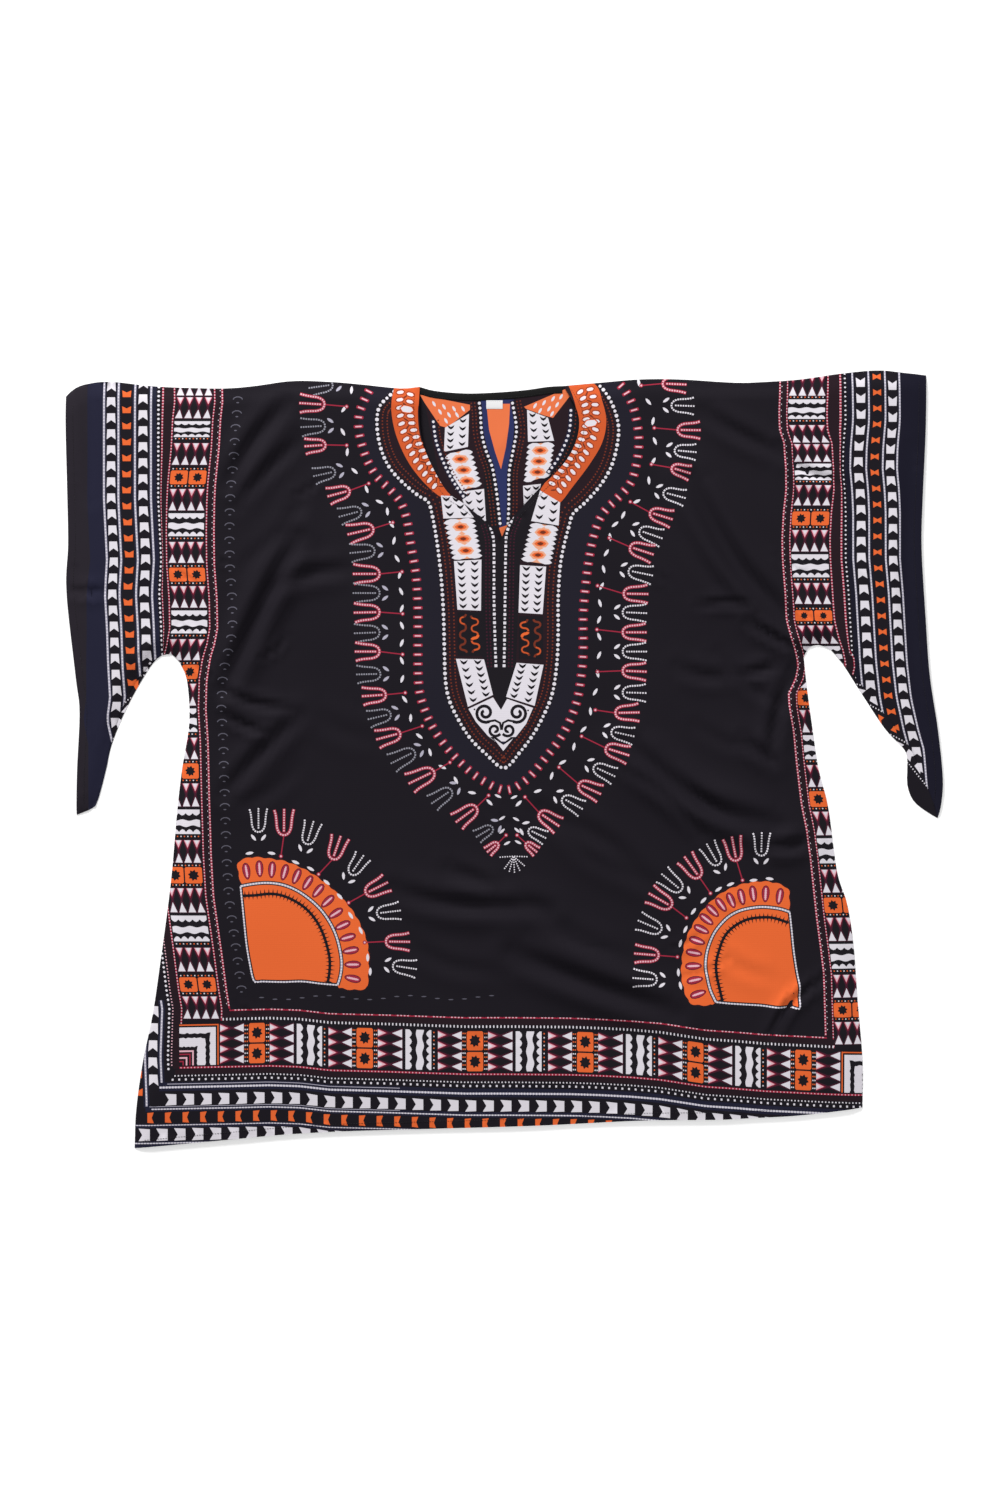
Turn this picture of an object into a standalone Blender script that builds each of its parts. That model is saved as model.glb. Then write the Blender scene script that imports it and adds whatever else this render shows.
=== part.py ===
"""A dashiki shirt laid flat on its back, seen from above: a kimono cut, with the sleeves in one with the body.

The back lies on the surface, the front lies on the back, and the black facing and the blank label lie
on the inside of the back, where the V neck shows them. +Y points to the neck, +X to the shirt's edge on
the right of the view, +Z up. The origin is at the middle of the shirt's box, on the surface it lies on.

Sizes in the tables are millimetres; MM turns them into metres.
"""

import math

import bpy
import numpy as np
from mathutils import Vector
from mathutils.geometry import delaunay_2d_cdt

MM = 0.001

# The cloth
WALL = 1.2  # thickness of a panel with its turned edges
GAP = 0.3  # between cloths that lie on each other
LABEL_WALL = 1.0
EDGE_STEP = 11.0  # between points along an outline
FRONT_MESH = 22.0  # between points inside the front, which holds the folds
BACK_MESH = 60.0  # between points inside the back, which is flat
MERGE = 1e-6

# Colours, linear, and roughness
PRINT_GROUND = (0.022, 0.019, 0.028)
FACING_BLACK = (0.012, 0.011, 0.013)
LABEL_WHITE = (0.8, 0.8, 0.78)
SATIN = 0.6
MATT = 0.7

# How the front lies on the back
BILLOW = 1.6  # the air under it between folds
SEAM_REACH = 22.0  # how far from a sewn edge it takes to rise
RIPPLE = 0.5  # the uneven rest of the surface
RIPPLE_LENGTHS = ((143.0, 61.0, 0.4), (-97.0, 118.0, 2.1), (71.0, -83.0, 4.0))  # along x, along y, phase

# Edges of the shirt, each a table of points (x, y) in order, clockwise from the left cuff
TOP_LEFT = (
    (-535, 443), (-524, 453), (-506, 459), (-479, 461), (-432, 456), (-396, 454), (-341, 453),
    (-304, 456), (-258, 462), (-212, 461), (-175, 458), (-126, 453), (-102, 455),
)  # fmt: skip
BACK_NECK = ((-102, 455), (-83, 450), (-47, 447), (-10, 448), (27, 451), (55, 455), (74, 456))
TOP_RIGHT = (
    (74, 456), (119, 460), (168, 464), (217, 464), (284, 460), (321, 461), (364, 464), (413, 471),
    (458, 475), (492, 472), (518, 469),
)  # fmt: skip
CUFF_RIGHT = (
    (518, 469), (517, 400), (513, 311), (512, 255), (517, 170), (522, 101), (532, 35), (538, -24),
    (536, -57), (532, -73),
)  # fmt: skip
UNDERARM_RIGHT = (
    (532, -73), (517, -64), (502, -51), (495, -32), (495, -8), (492, 10), (468, 36), (440, 78),
    (415, 117), (401, 133), (386, 139), (374, 135), (368, 124),
)  # fmt: skip
SIDE_RIGHT = (
    (368, 124), (372, 86), (379, 35), (386, -12), (398, -60), (409, -139), (421, -177), (429, -228),
    (434, -296), (440, -369), (440, -427),
)  # fmt: skip
HEM = (
    (440, -427), (413, -431), (358, -437), (303, -440), (260, -442), (168, -443), (45, -449),
    (-89, -453), (-194, -456), (-267, -460), (-322, -465), (-396, -472), (-451, -477),
)  # fmt: skip
SIDE_LEFT = (
    (-451, -477), (-449, -430), (-441, -372), (-429, -314), (-420, -253), (-407, -155), (-399, -66),
    (-393, -14), (-384, 45), (-387, 96), (-396, 118),
)  # fmt: skip
UNDERARM_LEFT = (
    (-396, 118), (-405, 127), (-418, 126), (-429, 116), (-445, 91), (-463, 57), (-479, 17),
    (-486, -14), (-496, -51), (-503, -61), (-522, -69),
)  # fmt: skip
CUFF_LEFT = (
    (-522, -69), (-521, -14), (-518, 57), (-523, 101), (-534, 204), (-532, 262), (-533, 322),
    (-535, 400), (-535, 443),
)  # fmt: skip

# The front stops at these seams, where a strip of the back's sleeve rolls round from below
ROLL_RIGHT = (
    (532, -73), (526, -52), (513, -20), (499, 12), (476, 42), (444, 84), (415, 117), (401, 133),
    (386, 139), (374, 135), (368, 124),
)  # fmt: skip
ROLL_LEFT = (
    (-396, 118), (-405, 127), (-418, 126), (-431, 116), (-450, 93), (-468, 57), (-480, 17),
    (-486, -14), (-496, -51), (-503, -61), (-522, -69),
)  # fmt: skip

# The V neck of the front, from the left shoulder down and up again
NECK_LEFT = ((-102, 455), (-103, 422), (-99, 390), (-88, 360), (-68, 326), (-47, 311), (-18, 286), (-4, 265))
NECK_RIGHT = ((-4, 265), (6, 286), (22, 306), (47, 333), (65, 350), (82, 372), (92, 398), (91, 424), (74, 456))

# The facing and the label inside the back neck
FACING_DEPTH = 9.0
FACING_END = 1.5  # short of each shoulder
LABEL_SIZE = (20.0, 10.5)  # across, down
LABEL_CENTRE_X = -10.5

# Folds of the front. Each is a trough between two soft shoulders:
# start x, y, middle x, y, end x, y, half width of the trough, rise of its shoulders
FOLDS = (
    (-334, 335, -304, 388, -263, 436, 16, 3.6),
    (-326, 308, -288, 352, -245, 392, 13, 1.6),
    (-340, 82, -302, 170, -252, 271, 17, 5.6),
    (-282, 205, -241, 224, -187, 232, 15, 2.2),
    (-346, 86, -310, 68, -262, 60, 10, 2.0),
    (-340, 52, -312, 38, -287, 30, 9, 1.8),
    (-340, -44, -302, 0, -250, 52, 15, 3.2),
    (-135, -160, -65, -178, 58, -182, 17, 3.4),
    (-66, -136, -40, -146, -8, -160, 15, 1.8),
    (12, -238, 92, -270, 212, -312, 20, 5.4),
    (46, -62, 120, -100, 190, -160, 18, 1.8),
    (151, 20, 232, -48, 334, -84, 18, 5.2),
    (146, -10, 196, -44, 244, -92, 12, 2.4),
    (322, -106, 346, -108, 374, -102, 13, 3.4),
    (226, 342, 286, 238, 358, 160, 19, 5.8),
    (244, 424, 286, 398, 340, 371, 14, 2.4),
    (240, 186, 268, 190, 300, 188, 9, 1.4),
    (300, 166, 330, 148, 366, 130, 10, 3.0),
    (294, 104, 312, 106, 332, 112, 11, 2.4),
    (214, 112, 244, 100, 276, 100, 13, 1.6),
    (352, 104, 336, 56, 328, 0, 13, 3.2),
    (294, 28, 310, 10, 332, -8, 12, 2.0),
    (324, -348, 348, -304, 392, -268, 9, 2.8),
    (340, 384, 366, 352, 408, 338, 10, 2.2),
    (-512, 440, -507, 380, -503, 316, 13, 1.8),
    (-536, 206, -512, 203, -486, 205, 10, 2.0),
    (500, 380, 494, 200, 512, 20, 14, 1.6),
)  # fmt: skip


def smooth_line(points, step=EDGE_STEP):
    """Points about a step apart on a soft curve through the table's points, without its last one."""
    p = np.array(points, float)
    ends = np.vstack([2 * p[0] - p[1], p, 2 * p[-1] - p[-2]])
    line = []
    for i in range(1, len(ends) - 2):
        a, b, c, d = ends[i - 1 : i + 3]
        count = max(1, round(math.dist(b, c) / step))
        for k in range(count):
            t = k / count
            line.append(
                0.5 * (2 * b + (c - a) * t + (2 * a - 5 * b + 4 * c - d) * t**2 + (3 * b - a - 3 * c + d) * t**3)
            )
    return line


def closed_outline(*edges):
    return np.array([point for edge in edges for point in smooth_line(edge)])


def distance_to(line, points):
    """From each point to the nearest place on a line of points, and how far along the line that is, 0 to 1."""
    line = np.asarray(line, float)
    best = np.full(len(points), 1e9)
    along = np.zeros(len(points))
    lengths = np.linalg.norm(np.diff(line, axis=0), axis=1)
    total = lengths.sum()
    start = 0.0
    for a, b, length in zip(line[:-1], line[1:], lengths):
        t = np.clip(((points - a) @ (b - a)) / length**2, 0, 1)
        far = np.linalg.norm(points - a - t[:, None] * (b - a), axis=1)
        nearer = far < best
        best = np.where(nearer, far, best)
        along = np.where(nearer, (start + t * length) / total, along)
        start += length
    return best, along


def inside(outline, points):
    """Which points lie inside a closed outline, by counting the edges to their right."""
    x, y = points[:, 0], points[:, 1]
    found = np.zeros(len(points), bool)
    for (x1, y1), (x2, y2) in zip(outline, np.roll(outline, -1, axis=0)):
        if y1 == y2:
            continue
        crosses = ((y1 > y) != (y2 > y)) & (x < (x2 - x1) * (y - y1) / (y2 - y1) + x1)
        found ^= crosses
    return found


def grid_inside(outline, step):
    """Points in staggered rows inside the outline, none too close to it."""
    low, high = outline.min(0), outline.max(0)
    rows = np.arange(low[1], high[1], step * math.sqrt(3) / 2)
    points = np.array(
        [(x + (step / 2 if i % 2 else 0), y) for i, y in enumerate(rows) for x in np.arange(low[0], high[0], step)]
    )
    points = points[inside(outline, points)]
    near, _ = distance_to(np.vstack([outline, outline[:1]]), points)
    return points[near > 0.55 * step]


def fold_heights(points, sewn):
    """How far the front stands above its lowest place at each point."""
    billow = np.full(len(points), BILLOW)
    shoulders = np.zeros(len(points))
    for x0, y0, xm, ym, x1, y1, half, rise in FOLDS:
        line = smooth_line(((x0, y0), (xm, ym), (x1, y1)), step=12) + [np.array((x1, y1), float)]
        far, along = distance_to(line, points)
        q = (far / half) ** 2
        fade = np.sin(math.pi * np.clip(along, 0.04, 0.96)) ** 0.6
        billow *= 1 - fade * np.exp(-q)
        shoulders += rise * fade * q * np.exp(1 - q)
    ripple = sum(np.sin(points[:, 0] / a + points[:, 1] / b + phase) for a, b, phase in RIPPLE_LENGTHS)
    height = billow + shoulders + RIPPLE * (1 + ripple / len(RIPPLE_LENGTHS))
    near = np.min([distance_to(edge, points)[0] for edge in sewn], axis=0)
    t = np.clip(near / SEAM_REACH, 0, 1)
    return height * t * t * (3 - 2 * t)


def cloth(name, collection, outline, step, bottom, wall, colour, roughness, origin, heights=None):
    """A panel of cloth: its outline filled with triangles, laid at its height and given its wall upwards."""
    inner = grid_inside(outline, step) if step else np.empty((0, 2))
    points = np.vstack([outline, inner])
    verts, _, faces, *_ = delaunay_2d_cdt(
        [Vector(p) for p in points * MM], [], [list(range(len(outline)))], 1, MERGE
    )
    flat = np.array([tuple(v) for v in verts]) / MM
    z = bottom + (heights(flat) if heights else np.zeros(len(flat)))
    mesh = bpy.data.meshes.new(name)
    mesh.from_pydata([tuple(v) for v in np.column_stack([flat - origin, z]) * MM], [], faces)
    if mesh.polygons[0].normal.z < 0:
        mesh.flip_normals()
    panel = bpy.data.objects.new(name, mesh)
    collection.objects.link(panel)
    thick = panel.modifiers.new("wall", "SOLIDIFY")
    thick.thickness = wall * MM
    thick.offset = 1.0
    mesh.shade_smooth()
    mesh.set_sharp_from_angle(angle=math.radians(50))
    dye = bpy.data.materials.new(name)
    dye.use_nodes = True
    shader = dye.node_tree.nodes["Principled BSDF"]
    shader.inputs["Base Color"].default_value = (*colour, 1)
    shader.inputs["Roughness"].default_value = roughness
    shader.inputs["Metallic"].default_value = 0.0
    mesh.materials.append(dye)
    return panel


def back_outline():
    return closed_outline(
        TOP_LEFT, BACK_NECK, TOP_RIGHT, CUFF_RIGHT, UNDERARM_RIGHT, SIDE_RIGHT, HEM, SIDE_LEFT, UNDERARM_LEFT, CUFF_LEFT
    )


def front_outline():
    return closed_outline(
        TOP_LEFT, NECK_LEFT, NECK_RIGHT, TOP_RIGHT, CUFF_RIGHT, ROLL_RIGHT, SIDE_RIGHT, HEM,
        SIDE_LEFT, ROLL_LEFT, CUFF_LEFT,
    )  # fmt: skip


def middle_of(outline):
    return (outline.min(0) + outline.max(0)) / 2


def facing_outline():
    """The back neck's own curve and the same curve moved down."""
    edge = np.array(smooth_line(BACK_NECK) + [np.array(BACK_NECK[-1], float)])
    edge[:, 0] = np.clip(edge[:, 0], BACK_NECK[0][0] + FACING_END, BACK_NECK[-1][0] - FACING_END)
    return np.vstack([edge, edge[::-1] - (0, FACING_DEPTH)])


def label_outline():
    width, depth = LABEL_SIZE
    edge = np.array(smooth_line(BACK_NECK))
    at = np.interp(LABEL_CENTRE_X, edge[:, 0], edge[:, 1])
    top = at - FACING_DEPTH - GAP - 0.3
    left, right = LABEL_CENTRE_X - width / 2, LABEL_CENTRE_X + width / 2
    return np.array(((left, top), (right, top), (right, top - depth), (left, top - depth)))


def build():
    for item in list(bpy.data.objects):
        bpy.data.objects.remove(item, do_unlink=True)
    shirt = bpy.data.collections.new("dashiki_shirt")
    bpy.context.scene.collection.children.link(shirt)

    outline = back_outline()
    origin = middle_of(outline)
    sewn = (TOP_LEFT, TOP_RIGHT, ROLL_RIGHT, SIDE_RIGHT, SIDE_LEFT, ROLL_LEFT)
    inside_back = WALL + GAP
    cloth("back", shirt, outline, BACK_MESH, 0.0, WALL, PRINT_GROUND, SATIN, origin)
    cloth(
        "front", shirt, front_outline(), FRONT_MESH, inside_back, WALL, PRINT_GROUND, SATIN, origin,
        heights=lambda points: fold_heights(points, sewn),
    )  # fmt: skip
    cloth("back_neck_facing", shirt, facing_outline(), None, inside_back, WALL, FACING_BLACK, MATT, origin)
    cloth("neck_label", shirt, label_outline(), None, inside_back, LABEL_WALL, LABEL_WHITE, SATIN, origin)


build()
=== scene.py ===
# %% [markdown]
# A dashiki shirt laid out flat. This looks at the cloth, its print, its folds and its sewing. The packed
# model gives the sizes, and everything here is built around it. The front and the back are printed panels
# of thin cotton.

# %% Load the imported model
import math

import bmesh
import bpy
import numpy as np
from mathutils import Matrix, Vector
from mathutils.geometry import delaunay_2d_cdt


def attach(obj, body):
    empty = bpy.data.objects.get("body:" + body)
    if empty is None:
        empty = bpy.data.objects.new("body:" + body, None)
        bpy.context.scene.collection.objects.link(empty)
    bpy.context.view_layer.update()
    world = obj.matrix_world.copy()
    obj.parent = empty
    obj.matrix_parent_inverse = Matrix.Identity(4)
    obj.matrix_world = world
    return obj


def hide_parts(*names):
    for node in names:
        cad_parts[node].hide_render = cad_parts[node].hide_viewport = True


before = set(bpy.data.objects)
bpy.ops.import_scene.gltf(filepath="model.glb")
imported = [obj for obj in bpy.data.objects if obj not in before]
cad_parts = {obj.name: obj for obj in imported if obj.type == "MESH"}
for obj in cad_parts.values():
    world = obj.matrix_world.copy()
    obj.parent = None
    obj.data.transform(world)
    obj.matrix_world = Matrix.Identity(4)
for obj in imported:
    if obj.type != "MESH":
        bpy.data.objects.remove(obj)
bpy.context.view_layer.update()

print("nodes:", ", ".join(sorted(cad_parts)))

# %% [markdown]
# ## Sizes
# The shirt is a kimono cut: each panel is one piece of cloth from cuff to cuff, so there is no seam at
# the armhole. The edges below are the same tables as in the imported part, in millimetres. The cloth is
# much thinner than the solid that stands for it, about 0.5 mm, and lies on the same surface. Tables of
# points hold the outline, one for each edge, because a sleeve or a hem can then be named, changed or sewn
# on its own.

# %% Units and thickness
MM = 0.001
ORIGIN = np.array((1.4296875, -1.0))  # the middle of the outline in these tables
CLOTH = 0.5  # thickness of the cloth at its edges
PLUMP = 0.6  # added away from them, where air lies between the threads of two layers
EDGE_STEP = 7.0
print("cloth:", CLOTH, "mm thick at its edges and", CLOTH + PLUMP, "mm inside them")

# %% The shirt's edges
TOP_LEFT = (
    (-535, 443), (-524, 453), (-506, 459), (-479, 461), (-432, 456), (-396, 454), (-341, 453),
    (-304, 456), (-258, 462), (-212, 461), (-175, 458), (-126, 453), (-102, 455),
)  # fmt: skip
BACK_NECK = ((-102, 455), (-83, 450), (-47, 447), (-10, 448), (27, 451), (55, 455), (74, 456))
TOP_RIGHT = (
    (74, 456), (119, 460), (168, 464), (217, 464), (284, 460), (321, 461), (364, 464), (413, 471),
    (458, 475), (492, 472), (518, 469),
)  # fmt: skip
CUFF_RIGHT = (
    (518, 469), (517, 400), (513, 311), (512, 255), (517, 170), (522, 101), (532, 35), (538, -24),
    (536, -57), (532, -73),
)  # fmt: skip
UNDERARM_RIGHT = (
    (532, -73), (517, -64), (502, -51), (495, -32), (495, -8), (492, 10), (468, 36), (440, 78),
    (415, 117), (401, 133), (386, 139), (374, 135), (368, 124),
)  # fmt: skip
SIDE_RIGHT = (
    (368, 124), (372, 86), (379, 35), (386, -12), (398, -60), (409, -139), (421, -177), (429, -228),
    (434, -296), (440, -369), (440, -427),
)  # fmt: skip
HEM = (
    (440, -427), (413, -431), (358, -437), (303, -440), (260, -442), (168, -443), (45, -449),
    (-89, -453), (-194, -456), (-267, -460), (-322, -465), (-396, -472), (-451, -477),
)  # fmt: skip
SIDE_LEFT = (
    (-451, -477), (-449, -430), (-441, -372), (-429, -314), (-420, -253), (-407, -155), (-399, -66),
    (-393, -14), (-384, 45), (-387, 96), (-396, 118),
)  # fmt: skip
UNDERARM_LEFT = (
    (-396, 118), (-405, 127), (-418, 126), (-429, 116), (-445, 91), (-463, 57), (-479, 17), (-486, -14),
    (-496, -51), (-503, -61), (-522, -69),
)  # fmt: skip
CUFF_LEFT = (
    (-522, -69), (-521, -14), (-518, 57), (-523, 101), (-534, 204), (-532, 262), (-533, 322),
    (-535, 400), (-535, 443),
)  # fmt: skip
ROLL_RIGHT = (
    (532, -73), (526, -52), (513, -20), (499, 12), (476, 42), (444, 84), (415, 117), (401, 133),
    (386, 139), (374, 135), (368, 124),
)  # fmt: skip
ROLL_LEFT = (
    (-396, 118), (-405, 127), (-418, 126), (-431, 116), (-450, 93), (-468, 57), (-480, 17), (-486, -14),
    (-496, -51), (-503, -61), (-522, -69),
)  # fmt: skip
NECK_LEFT = ((-102, 455), (-103, 422), (-99, 390), (-88, 360), (-68, 326), (-47, 311), (-18, 286), (-4, 265))
NECK_RIGHT = (
    (-4, 265), (6, 286), (22, 306), (47, 333), (65, 350), (82, 372), (92, 398), (91, 424), (74, 456),
)  # fmt: skip
print("neck:", NECK_RIGHT[-1][0] - NECK_LEFT[0][0], "mm wide,", NECK_LEFT[0][1] - NECK_LEFT[-1][1], "mm deep")


# %% Smooth outlines
def smooth_line(points, step=EDGE_STEP):
    """Points about a step apart on a soft curve through the table's points, without its last one."""
    p = np.array(points, float)
    ends = np.vstack([2 * p[0] - p[1], p, 2 * p[-1] - p[-2]])
    line = []
    for i in range(1, len(ends) - 2):
        a, b, c, d = ends[i - 1 : i + 3]
        count = max(1, round(math.dist(b, c) / step))
        for k in range(count):
            t = k / count
            curve = 2 * b + (c - a) * t + (2 * a - 5 * b + 4 * c - d) * t**2 + (3 * b - a - 3 * c + d) * t**3
            line.append(0.5 * curve)
    return line


def whole_line(points, step=EDGE_STEP):
    """The same curve with its last point."""
    return np.array(smooth_line(points, step) + [np.array(points[-1], float)])


def closed_outline(*edges):
    """Edges that end where the next one starts, as one ring of points."""
    return np.array([point for edge in edges for point in smooth_line(edge)])


BACK_OUTLINE = closed_outline(
    TOP_LEFT, BACK_NECK, TOP_RIGHT, CUFF_RIGHT, UNDERARM_RIGHT, SIDE_RIGHT,
    HEM, SIDE_LEFT, UNDERARM_LEFT, CUFF_LEFT,
)  # fmt: skip
FRONT_OUTLINE = closed_outline(
    TOP_LEFT, NECK_LEFT, NECK_RIGHT, TOP_RIGHT, CUFF_RIGHT, ROLL_RIGHT, SIDE_RIGHT,
    HEM, SIDE_LEFT, ROLL_LEFT, CUFF_LEFT,
)  # fmt: skip
print("points on the outlines:", len(BACK_OUTLINE), len(FRONT_OUTLINE))


# %% [markdown]
# ## How the cloth lies
# The front rises a little between its folds. Each fold is a soft trough with a shoulder on both sides, as
# in the solid. Smaller creases come on top of that here, with turned hems and an edge that rolls down
# where front and back are sewn. The back is nearly flat, because it carries the front, and has only
# shallow creases of its own. A cloth simulation could fold the shirt too, but its folds would come
# elsewhere than where this shirt was pressed and laid, so each one is listed.

# %% Heights of the cloth
INSIDE_BACK = 1.5  # the front's lower face where it lies on the back
BILLOW = 2.1  # how far the cloth stands up between its folds
FOLD_RISE = 1.3  # the folds are this much higher than in the solid
SEAM_REACH = 22.0  # how far from a seam the cloth is still pulled down
HEM_REACH = 70.0  # how far from a hem or cuff it still sinks
HEM_SHARE = 0.4  # the share of its height that is left there
CREASE_BEND = 0.08  # how far a small crease bends aside, as a share of its length
CREASE_DEEP = 0.3  # how deep its middle is, as a share of its rise
ROLL_DEEP, ROLL_WIDE = 1.15, 3.5  # how far a sewn edge rolls down, and over what width
HEM_THICK, HEM_WIDE = 0.35, 9.5  # what the turned hem adds, and its width
NECK_THICK, NECK_WIDE = 0.3, 6.0  # the same at the neck
TURN_SLOPE = 1.5  # the width over which a turned edge ends
RIPPLE = 1.1  # the height of the soft waves over the whole front
# length in x, length in y and start of each soft wave
RIPPLE_WAVES = (
    (143.0, 61.0, 0.4), (-97.0, 118.0, 2.1), (38.0, 52.0, 4.0), (-26.0, 39.0, 1.1), (44.0, 21.0, 5.2),
)  # fmt: skip

# %% The front's folds
# start x, y, middle x, y, end x, y, half width of the trough, rise of its shoulders
FOLDS = (
    (-334, 335, -304, 388, -263, 436, 16, 3.6),
    (-326, 308, -288, 352, -245, 392, 13, 1.6),
    (-340, 82, -302, 170, -252, 271, 17, 5.6),
    (-282, 205, -241, 224, -187, 232, 15, 2.2),
    (-346, 86, -310, 68, -262, 60, 10, 2.0),
    (-340, 52, -312, 38, -287, 30, 9, 1.8),
    (-340, -44, -302, 0, -250, 52, 15, 3.2),
    (-135, -160, -65, -178, 58, -182, 17, 3.4),
    (-66, -136, -40, -146, -8, -160, 15, 1.8),
    (12, -238, 92, -270, 212, -312, 20, 5.4),
    (46, -62, 120, -100, 190, -160, 18, 1.8),
    (151, 20, 232, -48, 334, -84, 18, 5.2),
    (146, -10, 196, -44, 244, -92, 12, 2.4),
    (322, -106, 346, -108, 374, -102, 13, 3.4),
    (226, 342, 286, 238, 358, 160, 19, 5.8),
    (244, 424, 286, 398, 340, 371, 14, 2.4),
    (240, 186, 268, 190, 300, 188, 9, 1.4),
    (300, 166, 330, 148, 366, 130, 10, 3.0),
    (294, 104, 312, 106, 332, 112, 11, 2.4),
    (214, 112, 244, 100, 276, 100, 13, 1.6),
    (352, 104, 336, 56, 328, 0, 13, 3.2),
    (294, 28, 310, 10, 332, -8, 12, 2.0),
    (324, -348, 348, -304, 392, -268, 9, 2.8),
    (340, 384, 366, 352, 408, 338, 10, 2.2),
    (-512, 440, -507, 380, -503, 316, 13, 1.8),
    (-536, 206, -512, 203, -486, 205, 10, 2.0),
    (500, 380, 494, 200, 512, 20, 14, 1.6),
)  # fmt: skip

# %% Small creases of the front
# start x, y, end x, y, half width, rise
CREASES = (
    (-322, 231, -236, 335, 15, 1.5),
    (-236, 60, -150, 20, 18, 1.0),
    (-330, -60, -250, -10, 14, 1.2),
    (46, -62, 190, -160, 16, 1.8),
    (8, -149, 156, -247, 17, 1.8),
    (-118, -226, -6, -262, 16, 1.5),
    (196, 8, 330, -104, 13, 1.6),
    (210, 290, 330, 160, 14, 1.4),
    (262, 130, 352, 60, 12, 1.5),
    (236, 40, 320, 10, 13, 1.2),
    (256, -230, 330, -270, 14, 1.0),
    (-404, 236, -372, 214, 5, 0.9),
    (-398, 330, -362, 316, 5, 0.8),
    (-372, 262, -330, 236, 6, 0.9),
    (-396, 168, -358, 138, 5, 1.0),
    (-388, 128, -350, 96, 6, 1.1),
    (-300, 120, -262, 150, 7, 0.9),
    (-262, 318, -214, 350, 8, 0.8),
    (-330, -300, -286, -316, 6, 0.7),
    (-60, -330, 20, -344, 8, 0.7),
    (60, -210, 130, -236, 9, 0.8),
    (196, -236, 250, -208, 7, 0.9),
    (214, -268, 282, -240, 7, 0.8),
    (250, -160, 300, -182, 7, 0.8),
    (330, 250, 372, 226, 5, 1.0),
    (352, 196, 392, 164, 6, 1.1),
    (396, 372, 430, 350, 5, 0.8),
    (432, 250, 462, 216, 5, 0.8),
    (416, 160, 452, 108, 6, 0.9),
    (160, 250, 206, 214, 8, 0.7),
    (120, 20, 150, -20, 7, 0.6),
    (-140, 30, -176, 64, 8, 0.6),
    (-20, -60, 20, -84, 8, 0.5),
    (-458, 110, -432, 150, 5, 0.9),
    (-500, 20, -470, 70, 6, 0.8),
    (476, 60, 506, 0, 6, 0.8),
    (384, -300, 420, -330, 6, 0.7),
    (60, 230, 66, 160, 6, 0.5),
    (-72, 250, -66, 190, 6, 0.5),
)  # fmt: skip

# %% Shallow creases of the back
# start x, y, end x, y, half width, rise
BACK_CREASES = (
    (-300, 330, -200, 180, 16, 0.5),
    (260, 360, 330, 200, 16, 0.5),
    (-340, 40, -220, 96, 14, 0.45),
    (180, 60, 330, -40, 18, 0.5),
    (-180, -140, 60, -200, 18, 0.5),
    (-330, -240, -200, -330, 14, 0.45),
    (100, -260, 300, -350, 18, 0.5),
    (-60, 120, 60, 60, 16, 0.4),
    (-470, 300, -440, 120, 12, 0.45),
    (450, 330, 470, 120, 12, 0.45),
    (-60, 330, -30, 400, 12, 0.35),
    (-380, -380, -280, -420, 12, 0.4),
    (300, -120, 400, -170, 12, 0.45),
    (-20, 360, 40, 420, 10, 0.35),
)  # fmt: skip
print("folds:", len(FOLDS), "small creases:", len(CREASES), "and on the back:", len(BACK_CREASES))


# %% Distances and troughs
def distance_to(line, points, reach=1e4):
    """From each point to the nearest place on a line, and how far along the line that is, 0 to 1."""
    line = np.asarray(line, float)
    best = np.full(len(points), 1e9)
    along = np.zeros(len(points))
    lengths = np.linalg.norm(np.diff(line, axis=0), axis=1)
    total = lengths.sum()
    start = 0.0
    near = np.flatnonzero(((points > line.min(0) - reach) & (points < line.max(0) + reach)).all(1))
    p = points[near]
    for a, b, length in zip(line[:-1], line[1:], lengths):
        by = near
        q = p
        if reach < 1e4:
            beside = ((p > np.minimum(a, b) - reach) & (p < np.maximum(a, b) + reach)).all(1)
            by, q = near[beside], p[beside]
        t = np.clip(((q - a) @ (b - a)) / length**2, 0, 1)
        far = np.hypot(*(q - a - t[:, None] * (b - a)).T)
        nearer = far < best[by]
        best[by[nearer]] = far[nearer]
        along[by[nearer]] = (start + t[nearer] * length) / total
        start += length
    return best, along


def soft(t):
    """A smooth step from 0 to 1."""
    t = np.clip(t, 0, 1)
    return t * t * (3 - 2 * t)


def trough(line, half, points):
    """How deep each point lies in a trough, 1 to 0, and how high on its shoulders."""
    far, along = distance_to(line, points, 3.2 * half)
    q = np.minimum(far / half, 9) ** 2
    fade = np.sin(math.pi * np.clip(along, 0.04, 0.96)) ** 0.6
    return fade * np.exp(-q), fade * q * np.exp(1 - q)


# %% Edges and folds as lines of points
HEM_EDGES = [whole_line(edge, 20) for edge in (CUFF_RIGHT, HEM, CUFF_LEFT)]
NECK_EDGES = [whole_line(edge, 12) for edge in (NECK_LEFT, NECK_RIGHT)]
SEAMS = (TOP_LEFT, TOP_RIGHT, ROLL_RIGHT, SIDE_RIGHT, SIDE_LEFT, ROLL_LEFT)
SEWN_EDGES = [whole_line(edge, 20) for edge in SEAMS]
FOLD_LINES = []
for x0, y0, x1, y1, x2, y2, half, rise in FOLDS:
    FOLD_LINES.append((whole_line(((x0, y0), (x1, y1), (x2, y2)), 14), half, FOLD_RISE * rise))
print("points on the fold lines:", sum(len(line) for line, _, _ in FOLD_LINES))


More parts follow.
